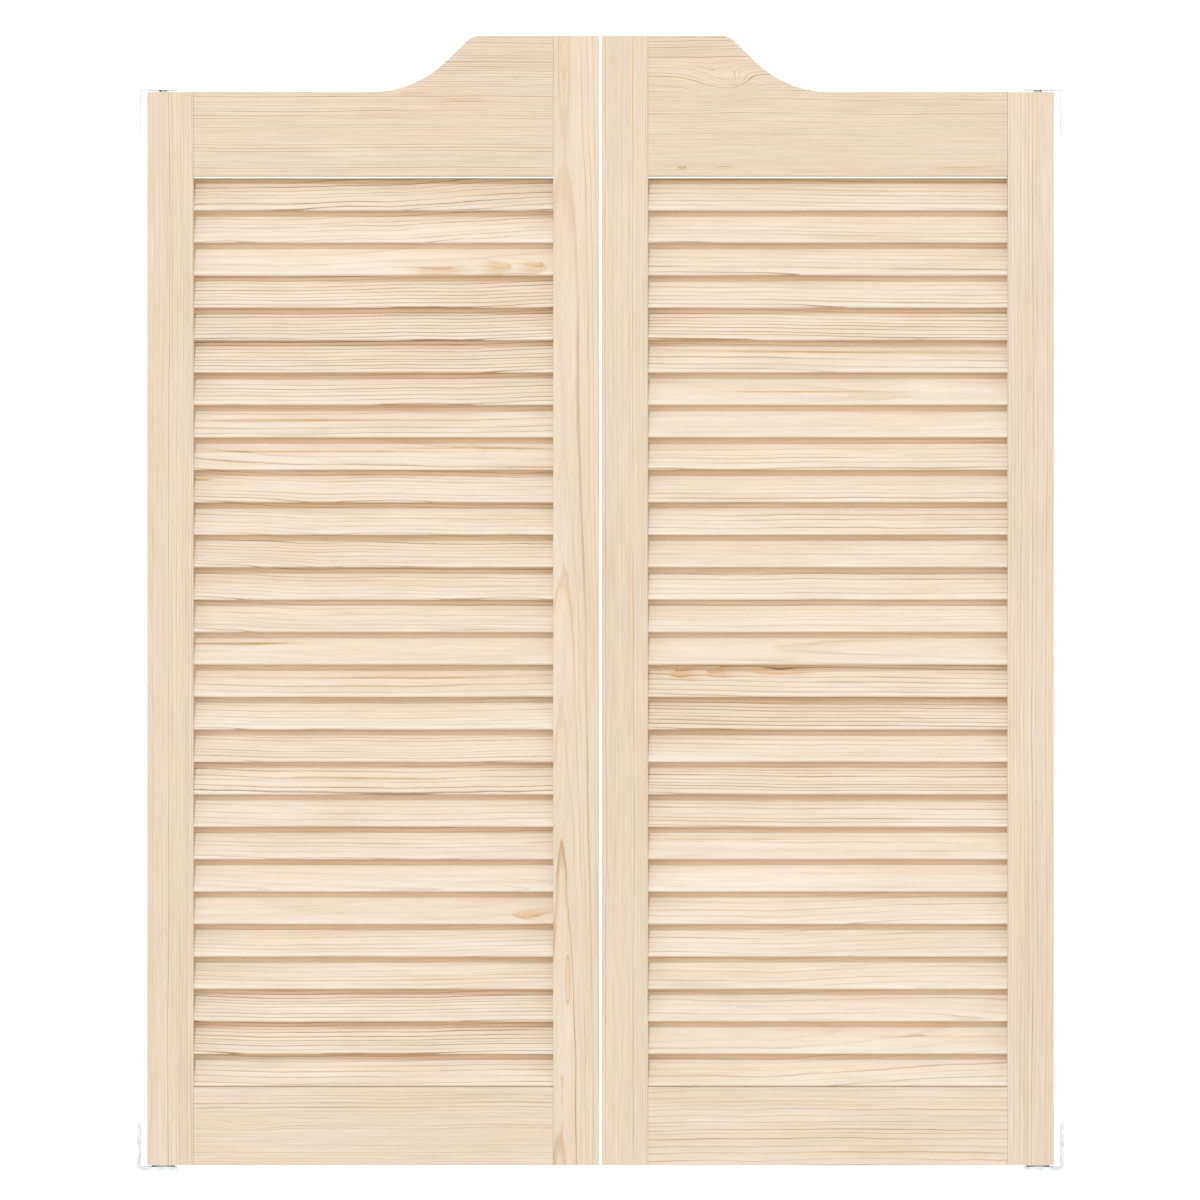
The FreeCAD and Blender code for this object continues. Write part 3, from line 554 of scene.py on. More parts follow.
def make_knot_streak():
    """A long soft hump at one place on a board: how far it pushes the rings, and how much it stains."""
    inputs = {
        "Board": Vector((0, 0, 0)),
        "Along": 0.0,
        "Across": 0.0,
        "Length": 0.03,
        "Width": 0.008,
        "Push": 0.006,
        "Resin": 0.5,
        "Tip": 1.0,
        "Swirl": 0.0,
        "Stain": 0.0,
    }
    group, given, made = new_group("knot streak", inputs, {"Swirl": float, "Stain": float})
    along, across = parts_of(group, given["Board"])[:2]
    spot = vector_of(group, along * RAGGED[0], across * RAGGED[1], given["Along"] * 50.0)
    ragged = noise(group, spot)
    rise = (across - given["Across"]) / given["Width"] + ragged * RAGGED_REACH
    run = (along - given["Along"]) / given["Length"] + rise * rise * (given["Tip"] - 1.0) * TIP_BEND
    run = run.at_least(run * given["Tip"])
    hump = ((run * run + rise * rise) * -1.0).do("EXPONENT")
    patchy = ragged * STAIN_PATCHES[1] + STAIN_PATCHES[0]
    fill = (hump * STAIN_FILL).at_most(1.0) * given["Resin"] * patchy
    feed(group, made["Swirl"], given["Swirl"] + hump * given["Push"])
    feed(group, made["Stain"], given["Stain"].at_least(fill))
    return group


knot_streak = make_knot_streak()
print("knot streak nodes:", len(knot_streak.nodes))

# %% [markdown]
# ## Boards of the frame
#
# Stiles have upright grain and rails have level grain, and each board is cut from its own plank. One
# material serves one board, made by the same function with the board's own numbers: where the pith
# was, how wide the rings are, how much the grain slopes. The two hinge stiles are cut near the edge of
# a log, with fine straight lines. The left meeting stile is cut right over the pith, so it has the
# boldest flames. The top rails are bolder at their upper edge, which was nearer to the bark.

# %% Pine for one board
RELIEF_DEPTH = 0.12 * MM
RELIEF_STRENGTH = 0.35
PINE_SHINE = 0.35
END_GRAIN_FACING = (0.75, 0.98)


def finish_wood(material, grain):
    """Joins a pine grain group's outputs to the material's own shader."""
    tree = material.node_tree
    shader = tree.nodes["Principled BSDF"]
    bump = place(tree, "ShaderNodeBump", {
        "Height": grain["Height"],
        "Strength": RELIEF_STRENGTH,
        "Distance": RELIEF_DEPTH,
    })
    feed(tree, shader.inputs["Base Color"], grain["Color"])
    feed(tree, shader.inputs["Roughness"], grain["Roughness"])
    feed(tree, shader.inputs["Normal"], bump.outputs["Normal"])
    shader.inputs["Specular IOR Level"].default_value = PINE_SHINE


def add_streaks(tree, board, streaks):
    """Chains knot streaks. Each is (along, across, length, width, push, resin, tip), lengths in mm."""
    swirl, stain = 0.0, 0.0
    for along, across, length, width, push, resin, tip in streaks:
        feeds = {
            "Board": board,
            "Along": along * MM,
            "Across": across * MM,
            "Length": length * MM,
            "Width": width * MM,
            "Push": push * MM,
            "Resin": resin,
            "Tip": tip,
            "Swirl": swirl,
            "Stain": stain,
        }
        outputs = use_group(tree, knot_streak, feeds)
        swirl, stain = outputs["Swirl"], outputs["Stain"]
    return swirl, stain


def board_material(node, upright, seed, pith, ring_width, slope=0.0, taper=0.0, waver=2.0,
                   lines=0.6, upper_lines=None, tone=0.0, streaks=()):
    """Pine for one CAD board. pith is (across, deep) from the board's middle, lengths in mm."""
    low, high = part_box(node)
    middle = (low + high) / 2
    material = bpy.data.materials.new(node + " pine")
    material.use_nodes = True
    tree = material.node_tree
    coordinates = place(tree, "ShaderNodeTexCoord").outputs
    centred = place(tree, "ShaderNodeMapping", {"Vector": coordinates["Object"], "Location": -middle})
    x, y, z = parts_of(tree, centred.outputs["Vector"])
    facing_x, facing_y, facing_z = parts_of(tree, coordinates["Normal"])
    along, across, facing_along = (z, x, facing_z) if upright else (x, z, facing_x)
    board = vector_of(tree, along, across, y)
    swirl, stain = add_streaks(tree, board, streaks)
    if upper_lines is not None:
        lines = z.ramp(low.z - middle.z, high.z - middle.z, lines, upper_lines)
    grain = use_group(tree, pine_grain, {
        "Board": board,
        "Seed": seed,
        "Pith Across": pith[0] * MM,
        "Pith Deep": pith[1] * MM,
        "Ring Width": ring_width * MM,
        "Slope": slope,
        "Taper": taper,
        "Waver": waver * MM,
        "Line Strength": lines,
        "Tone": tone,
        "Swirl": swirl,
        "Stain": stain,
        "End Grain": facing_along.do("ABSOLUTE").ramp(*END_GRAIN_FACING),
    })
    finish_wood(material, grain)
    frame["nodes"][node].data.materials[0] = material


# %% Stiles and rails
BOARDS = {
    "left_hinge_stile": dict(seed=11.3, pith=(-95, 40), ring_width=2.5, lines=0.60, waver=1.0),
    "right_hinge_stile": dict(
        seed=23.9, pith=(110, 35), ring_width=2.7, lines=0.75, waver=1.0, tone=0.8,
    ),
    "left_meeting_stile": dict(
        seed=5.7, pith=(-13, 24), ring_width=2.8, slope=0.004, taper=0.015, lines=1.05, waver=1.2,
        tone=0.7,
        streaks=[(533, -11.5, 55, 5, -7, 0.30, 1), (-355, -7.7, 28, 3, -4, 0.35, 1)],
    ),
    "right_meeting_stile": dict(seed=31.1, pith=(70, 30), ring_width=2.4, lines=0.60, waver=1.2),
    "left_top_rail": dict(
        seed=42.5, pith=(-140, 50), ring_width=2.3, lines=0.80, upper_lines=1.45, waver=1.4,
        streaks=[(39, 12, 12, 1.6, -0.5, 0.40, 1), (84, 5.5, 17, 1.8, -0.5, 0.45, 1)],
    ),
    "right_top_rail": dict(
        seed=57.2, pith=(130, 45), ring_width=2.2, lines=0.60, upper_lines=1.30, waver=2.0,
        tone=-0.4,
        streaks=[
            (-92, 22, 34, 13, -12, 0.0, 1.8),
            (-137, -59, 6, 1.4, -2, 0.6, 1),
            (-97, -58, 9, 1.4, -1, 0.5, 1),
            (125, -59, 22, 1.8, -1, 0.4, 1),
        ],
    ),
    "left_bottom_rail": dict(
        seed=63.8, pith=(90, 60), ring_width=2.5, lines=0.60, waver=1.6, tone=1.1,
        streaks=[(-121, 1, 25, 6, -5, 0.15, 1)],
    ),
    "right_bottom_rail": dict(
        seed=74.6, pith=(-60, 35), ring_width=3.6, lines=1.4, waver=2.0, tone=1.3,
    ),
}
for node, values in BOARDS.items():
    board_material(node, node.endswith("stile"), **values)
print("board materials:", sum(name.endswith(" pine") for name in bpy.data.materials.keys()))

# %% [markdown]
# ## Slats
#
# A slat is a thin board with rounded edges. Each leaf holds 28 of them, all alike in section, one
# pitch apart and tipped so that the low edge is at the front. They could be modelled once and copied
# by hand, but a rule says it better, so Geometry Nodes build them: a rounded section is swept into one
# slat, the slat is placed on a column of points, and each gets its number. The number bends each slat
# its own way by a few tenths of a millimetre, as real thin slats are bent, and tells the material
# which piece of timber it was sawn from. Ends stay straight, because the stiles hold them.
#
# The place of the column and the length, width and pitch of its slats are read from the boxes of the
# model's own slats. A box does not show thickness, nose and tilt, so these are repeated here.

# %% Slat sizes from the model
SLAT_THICKNESS = 4.8 * MM
SLAT_NOSE_RADIUS = 2.35 * MM
SLAT_TILT = math.radians(53)
SLATS_IN_A_LEAF = 28
SLATS_IN_A_NODE = 2


def slat_nodes(side):
    """The CAD nodes that hold one leaf's slats, from the bottom up."""
    numbers = range(1, SLATS_IN_A_LEAF, SLATS_IN_A_NODE)
    return [f"{side}_slats_{number:02d}_{number + 1:02d}" for number in numbers]


def slat_sizes(side):
    """Length, width and pitch of a leaf's slats, and the middle of its lowest slat."""
    low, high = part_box(slat_nodes(side)[0])
    last_low, last_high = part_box(slat_nodes(side)[-1])
    pitch = (last_low.z - low.z) / (SLATS_IN_A_LEAF - SLATS_IN_A_NODE)
    rise = high.z - low.z - pitch
    corners = SLAT_NOSE_RADIUS * 2
    across_edge = (SLAT_THICKNESS - corners) * math.cos(SLAT_TILT)
    width = (rise - corners - across_edge) / math.sin(SLAT_TILT) + corners
    middle = Vector(((low.x + high.x) / 2, (low.y + high.y) / 2, low.z + rise / 2))
    return high.x - low.x, width, pitch, middle


for side in ("left", "right"):
    sizes = slat_sizes(side)[:3]
    print(side, "slat length, width and pitch in mm:", [round(v / MM, 2) for v in sizes])

# %% Helpers for shapes
def new_shape_tree(name, lengths, counts=()):
    """An empty Geometry Nodes tree with named inputs: lengths, counts, a first place and a finish."""
    tree = bpy.data.node_groups.new(name, "GeometryNodeTree")
    tree.interface.new_socket("Geometry", in_out="OUTPUT", socket_type="NodeSocketGeometry")
    kinds = dict.fromkeys(lengths, "NodeSocketFloat")
    kinds.update(dict.fromkeys(counts, "NodeSocketInt"))
    kinds["First"] = "NodeSocketVector"
    kinds["Finish"] = "NodeSocketMaterial"
    for label, kind in kinds.items():
        tree.interface.new_socket(label, in_out="INPUT", socket_type=kind)
    given = tree.nodes.new("NodeGroupInput").outputs
    numbers = {label: Number(tree, given[label]) for label in lengths}
    return tree, given, numbers


def sweep(tree, curve, section, scale=1.0):
    """Draws a closed section along a curve and closes both ends."""
    return place(tree, "GeometryNodeCurveToMesh", {
        "Curve": curve.outputs[0],
        "Profile Curve": section.outputs[0],
        "Scale": scale,
        "Fill Caps": True,
    })


def finish_shape(tree, shape, finish):
    """Gives the finished shape its material, as the last step of a tree."""
    finished = place(tree, "GeometryNodeSetMaterial", {"Geometry": shape.outputs[0], "Material": finish})
    tree.links.new(finished.outputs[0], tree.nodes.new("NodeGroupOutput").inputs["Geometry"])
    return tree


def store(tree, geometry, name, value, kind="FLOAT", domain="POINT"):
    """Keeps a value on the shape under a name, for the material to read."""
    feeds = {"Geometry": geometry, "Name": name, "Value": value}
    node = place(tree, "GeometryNodeStoreNamedAttribute", feeds, data_type=kind, domain=domain)
    return node.outputs[0]


def recall(tree, name, kind="FLOAT"):
    """Reads a stored value again."""
    node = place(tree, "GeometryNodeInputNamedAttribute", {"Name": name}, data_type=kind)
    return node.outputs["Attribute"]


# %% Slat tree
BOW_STEPS = 28
ROUNDING_POINTS = 5

# A slat's bow: bumps per metre, and a step that gives each slat a bow of its own.
BOW_FORWARD = (7.0, 3.3)
BOW_UPWARD = (9.0, 5.1)


def make_slat_tree():
    """A column of tipped, rounded slats, each numbered and slightly bowed."""
    lengths = ("Length", "Width", "Thickness", "Edge Radius", "Pitch", "Tilt", "Bow", "Seed")
    tree, given, number = new_shape_tree("slat column", lengths, counts=("Count",))

    # One slat: a rounded section swept along X. Its width lies on Y and its thickness on Z.
    section = place(tree, "GeometryNodeCurvePrimitiveQuadrilateral", {
        "Width": given["Width"],
        "Height": given["Thickness"],
    })
    rounded = place(tree, "GeometryNodeFilletCurve", {
        "Curve": section.outputs[0],
        "Radius": given["Edge Radius"],
        "Count": ROUNDING_POINTS,
    }, mode="POLY")
    half = number["Length"] / 2.0
    line = place(tree, "GeometryNodeCurvePrimitiveLine", {
        "Start": vector_of(tree, half * -1.0),
        "End": vector_of(tree, half),
    })
    steps = place(tree, "GeometryNodeResampleCurve", {"Curve": line.outputs[0], "Count": BOW_STEPS + 1})
    slat = sweep(tree, steps, rounded)
    position = place(tree, "GeometryNodeInputPosition").outputs[0]
    slat = store(tree, slat.outputs[0], "grain_place", position, kind="FLOAT_VECTOR")

    # The column: one point for each slat, and the slat tipped on every point.
    column = place(tree, "GeometryNodeMeshLine", {
        "Count": given["Count"],
        "Start Location": given["First"],
        "Offset": vector_of(tree, z=given["Pitch"]),
    })
    slats = place(tree, "GeometryNodeInstanceOnPoints", {
        "Points": column.outputs[0],
        "Instance": slat,
        "Rotation": vector_of(tree, given["Tilt"]),
    })
    index = Number(tree, place(tree, "GeometryNodeInputIndex").outputs[0])
    numbered = store(tree, slats.outputs[0], "slat_number", index + 1.0, domain="INSTANCE")
    real = place(tree, "GeometryNodeRealizeInstances", {"Geometry": numbered})

    # A bow of a few tenths of a millimetre, which dies out at both ends.
    along = parts_of(tree, recall(tree, "grain_place", kind="FLOAT_VECTOR"))[0]
    slat_number = Number(tree, recall(tree, "slat_number"))
    reach = along / half
    hold = (reach * reach * reach * reach) * -1.0 + 1.0
    bow = number["Bow"] * hold * 2.0
    offsets = []
    for bumps, step in (BOW_FORWARD, BOW_UPWARD):
        spot = vector_of(tree, along * bumps, slat_number * step, number["Seed"])
        offsets.append(noise(tree, spot, detail=1.0) * bow)
    bent = place(tree, "GeometryNodeSetPosition", {
        "Geometry": real.outputs[0],
        "Offset": vector_of(tree, 0.0, *offsets),
    })
    smooth = place(tree, "GeometryNodeSetShadeSmooth", {"Geometry": bent.outputs[0]})
    return finish_shape(tree, smooth, given["Finish"])


slat_tree = make_slat_tree()
print("slat tree nodes:", len(slat_tree.nodes))

# %% [markdown]
# ## Timber of the slats
#
# A slat is ripped off the edge of a plank, and the next one comes from right beside it. So the slats
# are laid side by side again, with the saw cut between them, and the plank is given its grain as one
# board. Over the pith come slats with flames, and beside it slats with straight lines, which run on
# from one slat to the next. Four or five planks make the 28 slats of a leaf. Good and lean years still
# make one slat bolder or wider in the ring than its neighbour, so those two go slat by slat. All of it
# is written on the mesh as attributes, point by point, so one material serves a whole leaf.
#
# Their grain reads the stored place on the slat and not Object coordinates, because the slats are
# tipped: along, across and into the slat must be the slat's own directions.

# %% Slat material
PLANK_STEP = 40 * MM
SLAT_FIBRES = 280.0

# Light reaches the top of a slat only by way of other slats, and wood makes it warmer each time. Two
# tints are painted light that stands in for it: painted warm bounce light in the band under the nose
# of the slat above, and painted shade in the corner behind that nose. The pairs are how far above the
# slat's middle each starts and is full.
PAINTED_BOUNCE_LIGHT = (1.240, 1.140, 1.025, 1.0)
PAINTED_BOUNCE_STARTS = (9.2 * MM, 12.5 * MM)
PAINTED_CORNER_SHADE = (1.060, 0.920, 0.765, 1.0)
PAINTED_CORNER_SHADE_STARTS = (14.0 * MM, 17.2 * MM)

# What the mesh carries for each slat, and the grain input that reads it.
PLANK_VALUES = {
    "seed": "Seed",
    "pith_across": "Pith Across",
    "pith_deep": "Pith Deep",
    "ring_width": "Ring Width",
    "slope": "Slope",
    "taper": "Taper",
    "waver": "Waver",
    "lines": "Line Strength",
}


def from_mesh(tree, name):
    """A number that the mesh carries under this name."""
    return Number(tree, place(tree, "ShaderNodeAttribute", attribute_name=name).outputs["Fac"])


def slat_material(side, streaks):
    """Pine for one leaf's slats. streaks are a slat's number and then as in add_streaks."""
    material = bpy.data.materials.new(side + " slat pine")
    material.use_nodes = True
    tree = material.node_tree
    read = place(tree, "ShaderNodeAttribute", attribute_name="grain_place")
    along, across, deep = parts_of(tree, read.outputs["Vector"])
    number = (from_mesh(tree, "slat_number") + 0.5).do("FLOOR")
    plank = {label: from_mesh(tree, name) for name, label in PLANK_VALUES.items()}
    board = vector_of(tree, along, across + number * PLANK_STEP, deep)

    rows = []
    for slat, place_along, place_across, *size in streaks:
        rows.append((place_along, place_across + slat * PLANK_STEP / MM, *size))
    swirl, stain = add_streaks(tree, board, rows)

    tone = dice(tree, number * 4.19 + plank["Seed"])[0]
    # Painted light and shade: warm bounce light painted on the band under the next slat's nose, and shade
    # painted in the corner behind it.
    under = mixed(tree, across.ramp(*PAINTED_BOUNCE_STARTS), PLAIN, PAINTED_BOUNCE_LIGHT)
    painted_light_tint = mixed(tree, across.ramp(*PAINTED_CORNER_SHADE_STARTS), under, PAINTED_CORNER_SHADE)
    grain = use_group(tree, pine_grain, {
        **plank,
        "Board": board,
        "Pale Wood": SLAT_PINE,
        "Fibres": SLAT_FIBRES,
        "Tone": tone - 0.5,
        "Swirl": swirl,
        "Stain": stain,
        "Cast": painted_light_tint,
    })
    finish_wood(material, grain)
    return material


# %% Planks
# Each plank: its first and last slat, and its grain. The pith lies behind slat number pith_slat.
PLANKS = {
    "left": [
        dict(slats=(1, 7), seed=2.9, pith_slat=6.3, pith_deep=20, slope=0.00, taper=0.05, waver=2.2),
        dict(slats=(8, 14), seed=7.4, pith_slat=14.2, pith_deep=16, slope=-0.01, taper=0.04, waver=3.0),
        dict(slats=(15, 20), seed=13.1, pith_slat=20.4, pith_deep=22, slope=-0.015, taper=-0.03, waver=4.0),
        dict(slats=(21, 26), seed=18.6, pith_slat=26.4, pith_deep=14, slope=0.01, taper=0.05, waver=2.6),
        dict(slats=(27, 28), seed=47.9, pith_slat=29.5, pith_deep=16, slope=0.03, taper=0.06, waver=4.8),
    ],
    "right": [
        dict(slats=(1, 6), seed=24.2, pith_slat=2.2, pith_deep=18, slope=0.02, taper=0.05, waver=4.2),
        dict(slats=(7, 14), seed=29.5, pith_slat=14.0, pith_deep=14, slope=0.00, taper=-0.04, waver=1.8),
        dict(slats=(15, 22), seed=33.8, pith_slat=21.8, pith_deep=20, slope=0.00, taper=0.04, waver=2.8),
        dict(slats=(23, 28), seed=41.7, pith_slat=21.0, pith_deep=24, slope=-0.01, taper=0.02, waver=1.8),
    ],
}

# One digit for each slat, from the bottom slat up: the width of its rings in mm.
RING_WIDTHS = {
    "left": "6444496556448965444985444855",
    "right": "7855557954545756655569845555",
}
# And how bold its lines are, where 1 is hardly seen and 9 is darkest.
BOLDNESS = {
    "left": "4863312425332134545235999135",
    "right": "2122221347395123242412363323",
}
BOLDNESS_STEP = 0.24


def write_planks(mesh, side):
    """Writes each slat's plank values on its points."""
    numbers = [0.0] * len(mesh.vertices)
    mesh.attributes["slat_number"].data.foreach_get("value", numbers)
    of_slat = {}
    for plank in PLANKS[side]:
        first, last = plank["slats"]
        for slat in range(first, last + 1):
            of_slat[slat] = {
                "seed": plank["seed"],
                "pith_across": plank["pith_slat"] * PLANK_STEP,
                "pith_deep": plank["pith_deep"] * MM,
                "ring_width": int(RING_WIDTHS[side][slat - 1]) * MM,
                "slope": plank["slope"],
                "taper": plank["taper"],
                "waver": plank["waver"] * MM,
                "lines": int(BOLDNESS[side][slat - 1]) * BOLDNESS_STEP,
            }
    for name in PLANK_VALUES:
        values = [of_slat[round(number)][name] for number in numbers]
        mesh.attributes.new(name, "FLOAT", "POINT").data.foreach_set("value", values)


print("planks in each leaf:", {side: len(planks) for side, planks in PLANKS.items()})

# %% Make the slats
def make_with(tree, name, sizes):
    """Runs a Geometry Nodes tree with these inputs and returns its result as a plain object."""
    maker = bpy.data.objects.new("maker", bpy.data.meshes.new("maker"))
    bpy.context.scene.collection.objects.link(maker)
    modifier = maker.modifiers.new("shape", "NODES")
    modifier.node_group = tree
    for item in tree.interface.items_tree:
        if item.in_out == "INPUT":
            modifier[item.identifier] = sizes[item.name]
    maker.modifiers.new("even shading", "WEIGHTED_NORMAL").keep_sharp = True
    evaluated = maker.evaluated_get(bpy.context.evaluated_depsgraph_get())
    mesh = bpy.data.meshes.new_from_object(evaluated)
    mesh.name = name
    if mesh.materials[0] is None:
        mesh.materials.pop(index=0)
    bpy.data.objects.remove(maker)
    piece = bpy.data.objects.new(name, mesh)
    bpy.context.scene.collection.objects.link(piece)
    print(name, "faces:", len(mesh.polygons))
    return piece


SLAT_BOW = 0.3 * MM

# Streaks: slat, along, across, length, width, push, resin, tip. Slats count from the bottom.
SLAT_STREAKS = {
    "left": [
        (26, 61, -15.5, 22, 4.4, -3, 0.75, 1),
        (26, 125, -12, 15, 7.5, -4, 0.80, 3),
        (26, 159, -11.5, 15, 7.5, -4, 0.70, 3),
        (21, -75, 0, 60, 0.9, 0, 1.0, 1),
        (20, -60, 1, 130, 0.9, 0, 1.0, 1),
        (20, 90, 5, 60, 0.9, 0, 1.0, 1),
        (19, -168, 7, 14, 1.5, 0, 0.9, 1),
        (14, -120, 4, 50, 1.2, 0, 0.9, 1),
        (13, 60, 2, 110, 0.9, 0, 0.6, 1),
        (10, -40, -3, 90, 0.9, 0, 0.8, 1),
        (6, 140, -10, -18, 6.5, -4, 0.75, 3),
    ],
    "right": [
        (13, -144, 7, -14, 6.5, -3, 0.80, 3),
        (13, -110, 8, -14, 6.0, -3, 0.80, 3),
        (13, -47, 9, 24, 4.2, -3, 0.70, 1),
        (23, 20, 4, 140, 1.0, 0, 0.9, 1),
        (22, -30, -5, 60, 0.9, 0, 1.0, 1),
        (8, -100, 3, 90, 0.9, 0, 1.0, 1),
        (2, 110, 0, 60, 1.5, -2, 0.5, 1),
    ],
}
SLAT_SEED = {"left": 3.17, "right": 8.61}

for side in ("left", "right"):
    length, width, pitch, middle = slat_sizes(side)
    slats = make_with(slat_tree, side + "_slats", {
        "Length": length,
        "Width": width,
        "Thickness": SLAT_THICKNESS,
        "Edge Radius": SLAT_NOSE_RADIUS,
        "Pitch": pitch,
        "Tilt": SLAT_TILT,
        "Bow": SLAT_BOW,
        "Seed": SLAT_SEED[side],
        "Count": SLATS_IN_A_LEAF,
        "First": middle,
        "Finish": slat_material(side, SLAT_STREAKS[side]),
    })
    write_planks(slats.data, side)
    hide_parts(*slat_nodes(side))
    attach(slats, side + "_leaf")

# %% [markdown]
# ## Metal and nylon
#
# The hardware is plain stock: zinc-plated strip for the brackets and barrels, bright turned steel for
# the spindles, pins and screws, dark oil-tempered wire for the springs, and off-white nylon where
# things turn. None of it is polished, and what makes bare metal look real is that its shine is
# uneven: the plating is a little duller in patches. One group gives that unevenness to all of them.

# %% Uneven shine group
DRAWN_OUT = 30.0
PATCH_TONE = 0.35
LINE_TONE = 0.25
PATCH_DULLNESS = 0.30
LINE_DULLNESS = 0.20
PATCH_RELIEF = 0.2


def make_uneven_shine():
    """Soft patches and fine drawn lines for plain metal and moulded plastic."""
    inputs = {"Position": Vector((0, 0, 0)), "Patch": 0.004, "Lines": 0.0002, "Line Strength": 0.5}
    outputs = {"Tone": float, "Dullness": float, "Height": float}
    group, given, made = new_group("uneven shine", inputs, outputs)
    x, y, z = parts_of(group, given["Position"])
    patch = given["Patch"]
    patches = noise(group, vector_of(group, x / patch, y / patch, z / patch), detail=3.0, roughness=0.6)
    fine = given["Lines"]
    drawn = vector_of(group, x / fine, y / fine, z / (fine * DRAWN_OUT))
    lines = noise(group, drawn, detail=1.0) * given["Line Strength"]
    feed(group, made["Tone"], patches * PATCH_TONE + lines * LINE_TONE + 1.0)
    feed(group, made["Dullness"], patches * PATCH_DULLNESS + lines * LINE_DULLNESS)
    feed(group, made["Height"], lines + patches * PATCH_RELIEF)
    return group


uneven_shine = make_uneven_shine()
print("uneven shine nodes:", len(uneven_shine.nodes))

# %% Hardware materials
METAL_RELIEF_DEPTH = 0.05 * MM
METAL_RELIEF_STRENGTH = 0.2


def hardware_material(name, colour, metallic, roughness, patch, lines, line_strength):
    """One plain metal or plastic. patch and lines are sizes in mm."""
    material = bpy.data.materials.new(name)
    material.use_nodes = True
    tree = material.node_tree
    shader = tree.nodes["Principled BSDF"]
    coordinates = place(tree, "ShaderNodeTexCoord").outputs
    shine = use_group(tree, uneven_shine, {
        "Position": coordinates["Object"],
        "Patch": patch * MM,
        "Lines": lines * MM,
        "Line Strength": line_strength,
    })
    tone = vector_of(tree, shine["Tone"], shine["Tone"], shine["Tone"])
    base = mixed(tree, 1.0, (*colour, 1.0), tone, blend_type="MULTIPLY")
    feed(tree, shader.inputs["Base Color"], base)
    shader.inputs["Metallic"].default_value = metallic
    feed(tree, shader.inputs["Roughness"], Number(tree, shine["Dullness"]) + roughness)
    relief = place(tree, "ShaderNodeBump", {
        "Height": shine["Height"],
        "Strength": METAL_RELIEF_STRENGTH,
        "Distance": METAL_RELIEF_DEPTH,
    })
    feed(tree, shader.inputs["Normal"], relief.outputs["Normal"])
    return material


HARDWARE = {
    "zinc_plate": hardware_material("zinc plate", (0.58, 0.60, 0.62), 1.0, 0.36, 5.0, 0.25, 0.2),
    "bright_steel": hardware_material("bright steel", (0.60, 0.60, 0.59), 1.0, 0.26, 3.0, 0.15, 0.6),
    "spring_steel": hardware_material("spring steel", (0.20, 0.195, 0.19), 1.0, 0.38, 2.0, 0.12, 0.5),
    "nylon": hardware_material("nylon", (0.80, 0.78, 0.71), 0.0, 0.48, 2.5, 0.4, 0.1),
    "dowel_beech": hardware_material("beech", (0.62, 0.45, 0.31), 0.0, 0.60, 6.0, 0.5, 1.0),
}
for node in frame["nodes"].values():
    slot_name = node.data.materials[0].name.split(".")[0]
    if slot_name in HARDWARE:
        node.data.materials[0] = HARDWARE[slot_name]
print("hardware materials:", ", ".join(HARDWARE))

# %% [markdown]
# ## Springs
#
# Two springs hide in each leaf. A torsion spring in the barrel brings the leaf back: its lower end
# stands in a hole of the fixed spindle, and its upper end in the barrel's cap, which turns with the
# leaf. A small compression spring pushes the top pin up. Both are one wire wound round a cylinder, so
# one tree makes both: the points of a straight line are moved onto a helix by a formula, and a round
# section is swept along them.
#
# A spring does not move with one body.

# %% Spring tree
POINTS_IN_A_TURN = 28
WIRE_SIDES = 10
TANG_STRETCH = 16 * MM
TANG_BEND = 0.1


def make_spring_tree():
    """One wire wound round Z. Its ends may lie flat for some dead turns, or stand out as tangs."""
    lengths = ("Wire", "Radius", "Height", "Turns", "Dead Turns", "Tang")
    tree, given, numbers = new_shape_tree("wound spring", lengths)
    wire, radius, height, turns, dead, tang = numbers.values()

    # The wire starts straight. Its X counts the turns, with a tang before 0 and one after the last.
    tang_turns = tang / TANG_STRETCH
    line = place(tree, "GeometryNodeCurvePrimitiveLine", {
        "Start": vector_of(tree, tang_turns * -1.0),
        "End": vector_of(tree, turns + tang_turns),
    })
    steps = place(tree, "GeometryNodeResampleCurve", {
        "Curve": line.outputs[0],
        "Count": (turns + tang_turns * 2.0) * POINTS_IN_A_TURN,
    })
    turn = parts_of(tree, place(tree, "GeometryNodeInputPosition").outputs[0])[0]
    bend = tang_turns.at_most(TANG_BEND)
    wound = turn.do("SMOOTH_MAX", 0.0, bend).do("SMOOTH_MIN", turns, bend)

    # Every turn climbs by the wire at least. The live turns share the height that is left.
    live = ((wound - dead) / (turns - dead * 2.0)).at_least(0.0).at_most(1.0)
    climb = wire * wound + (height - wire * turns) * live + (turn - wound) * TANG_STRETCH
    angle = wound * math.tau
    coil = place(tree, "GeometryNodeSetPosition", {
        "Geometry": steps.outputs[0],
        "Position": vector_of(tree, angle.do("COSINE") * radius, angle.do("SINE") * radius, climb),
    })
    section = place(tree, "GeometryNodeCurvePrimitiveCircle", {
        "Resolution": WIRE_SIDES,
        "Radius": wire / 2.0,
    })
    seated = place(tree, "GeometryNodeTransform", {
        "Geometry": sweep(tree, coil, section).outputs[0],
        "Translation": given["First"],
    })
    smooth = place(tree, "GeometryNodeSetShadeSmooth", {"Geometry": seated.outputs[0]})
    return finish_shape(tree, smooth, given["Finish"])


spring_tree = make_spring_tree()
print("spring tree nodes:", len(spring_tree.nodes))

# %% Make the springs
RETURN_WIRE = 2.0 * MM
RETURN_TURNS = 14
RETURN_TURN_GAP = 0.2 * MM
PIN_WIRE = 0.8 * MM
PIN_TURNS = 12
PIN_DEAD_TURNS = 1


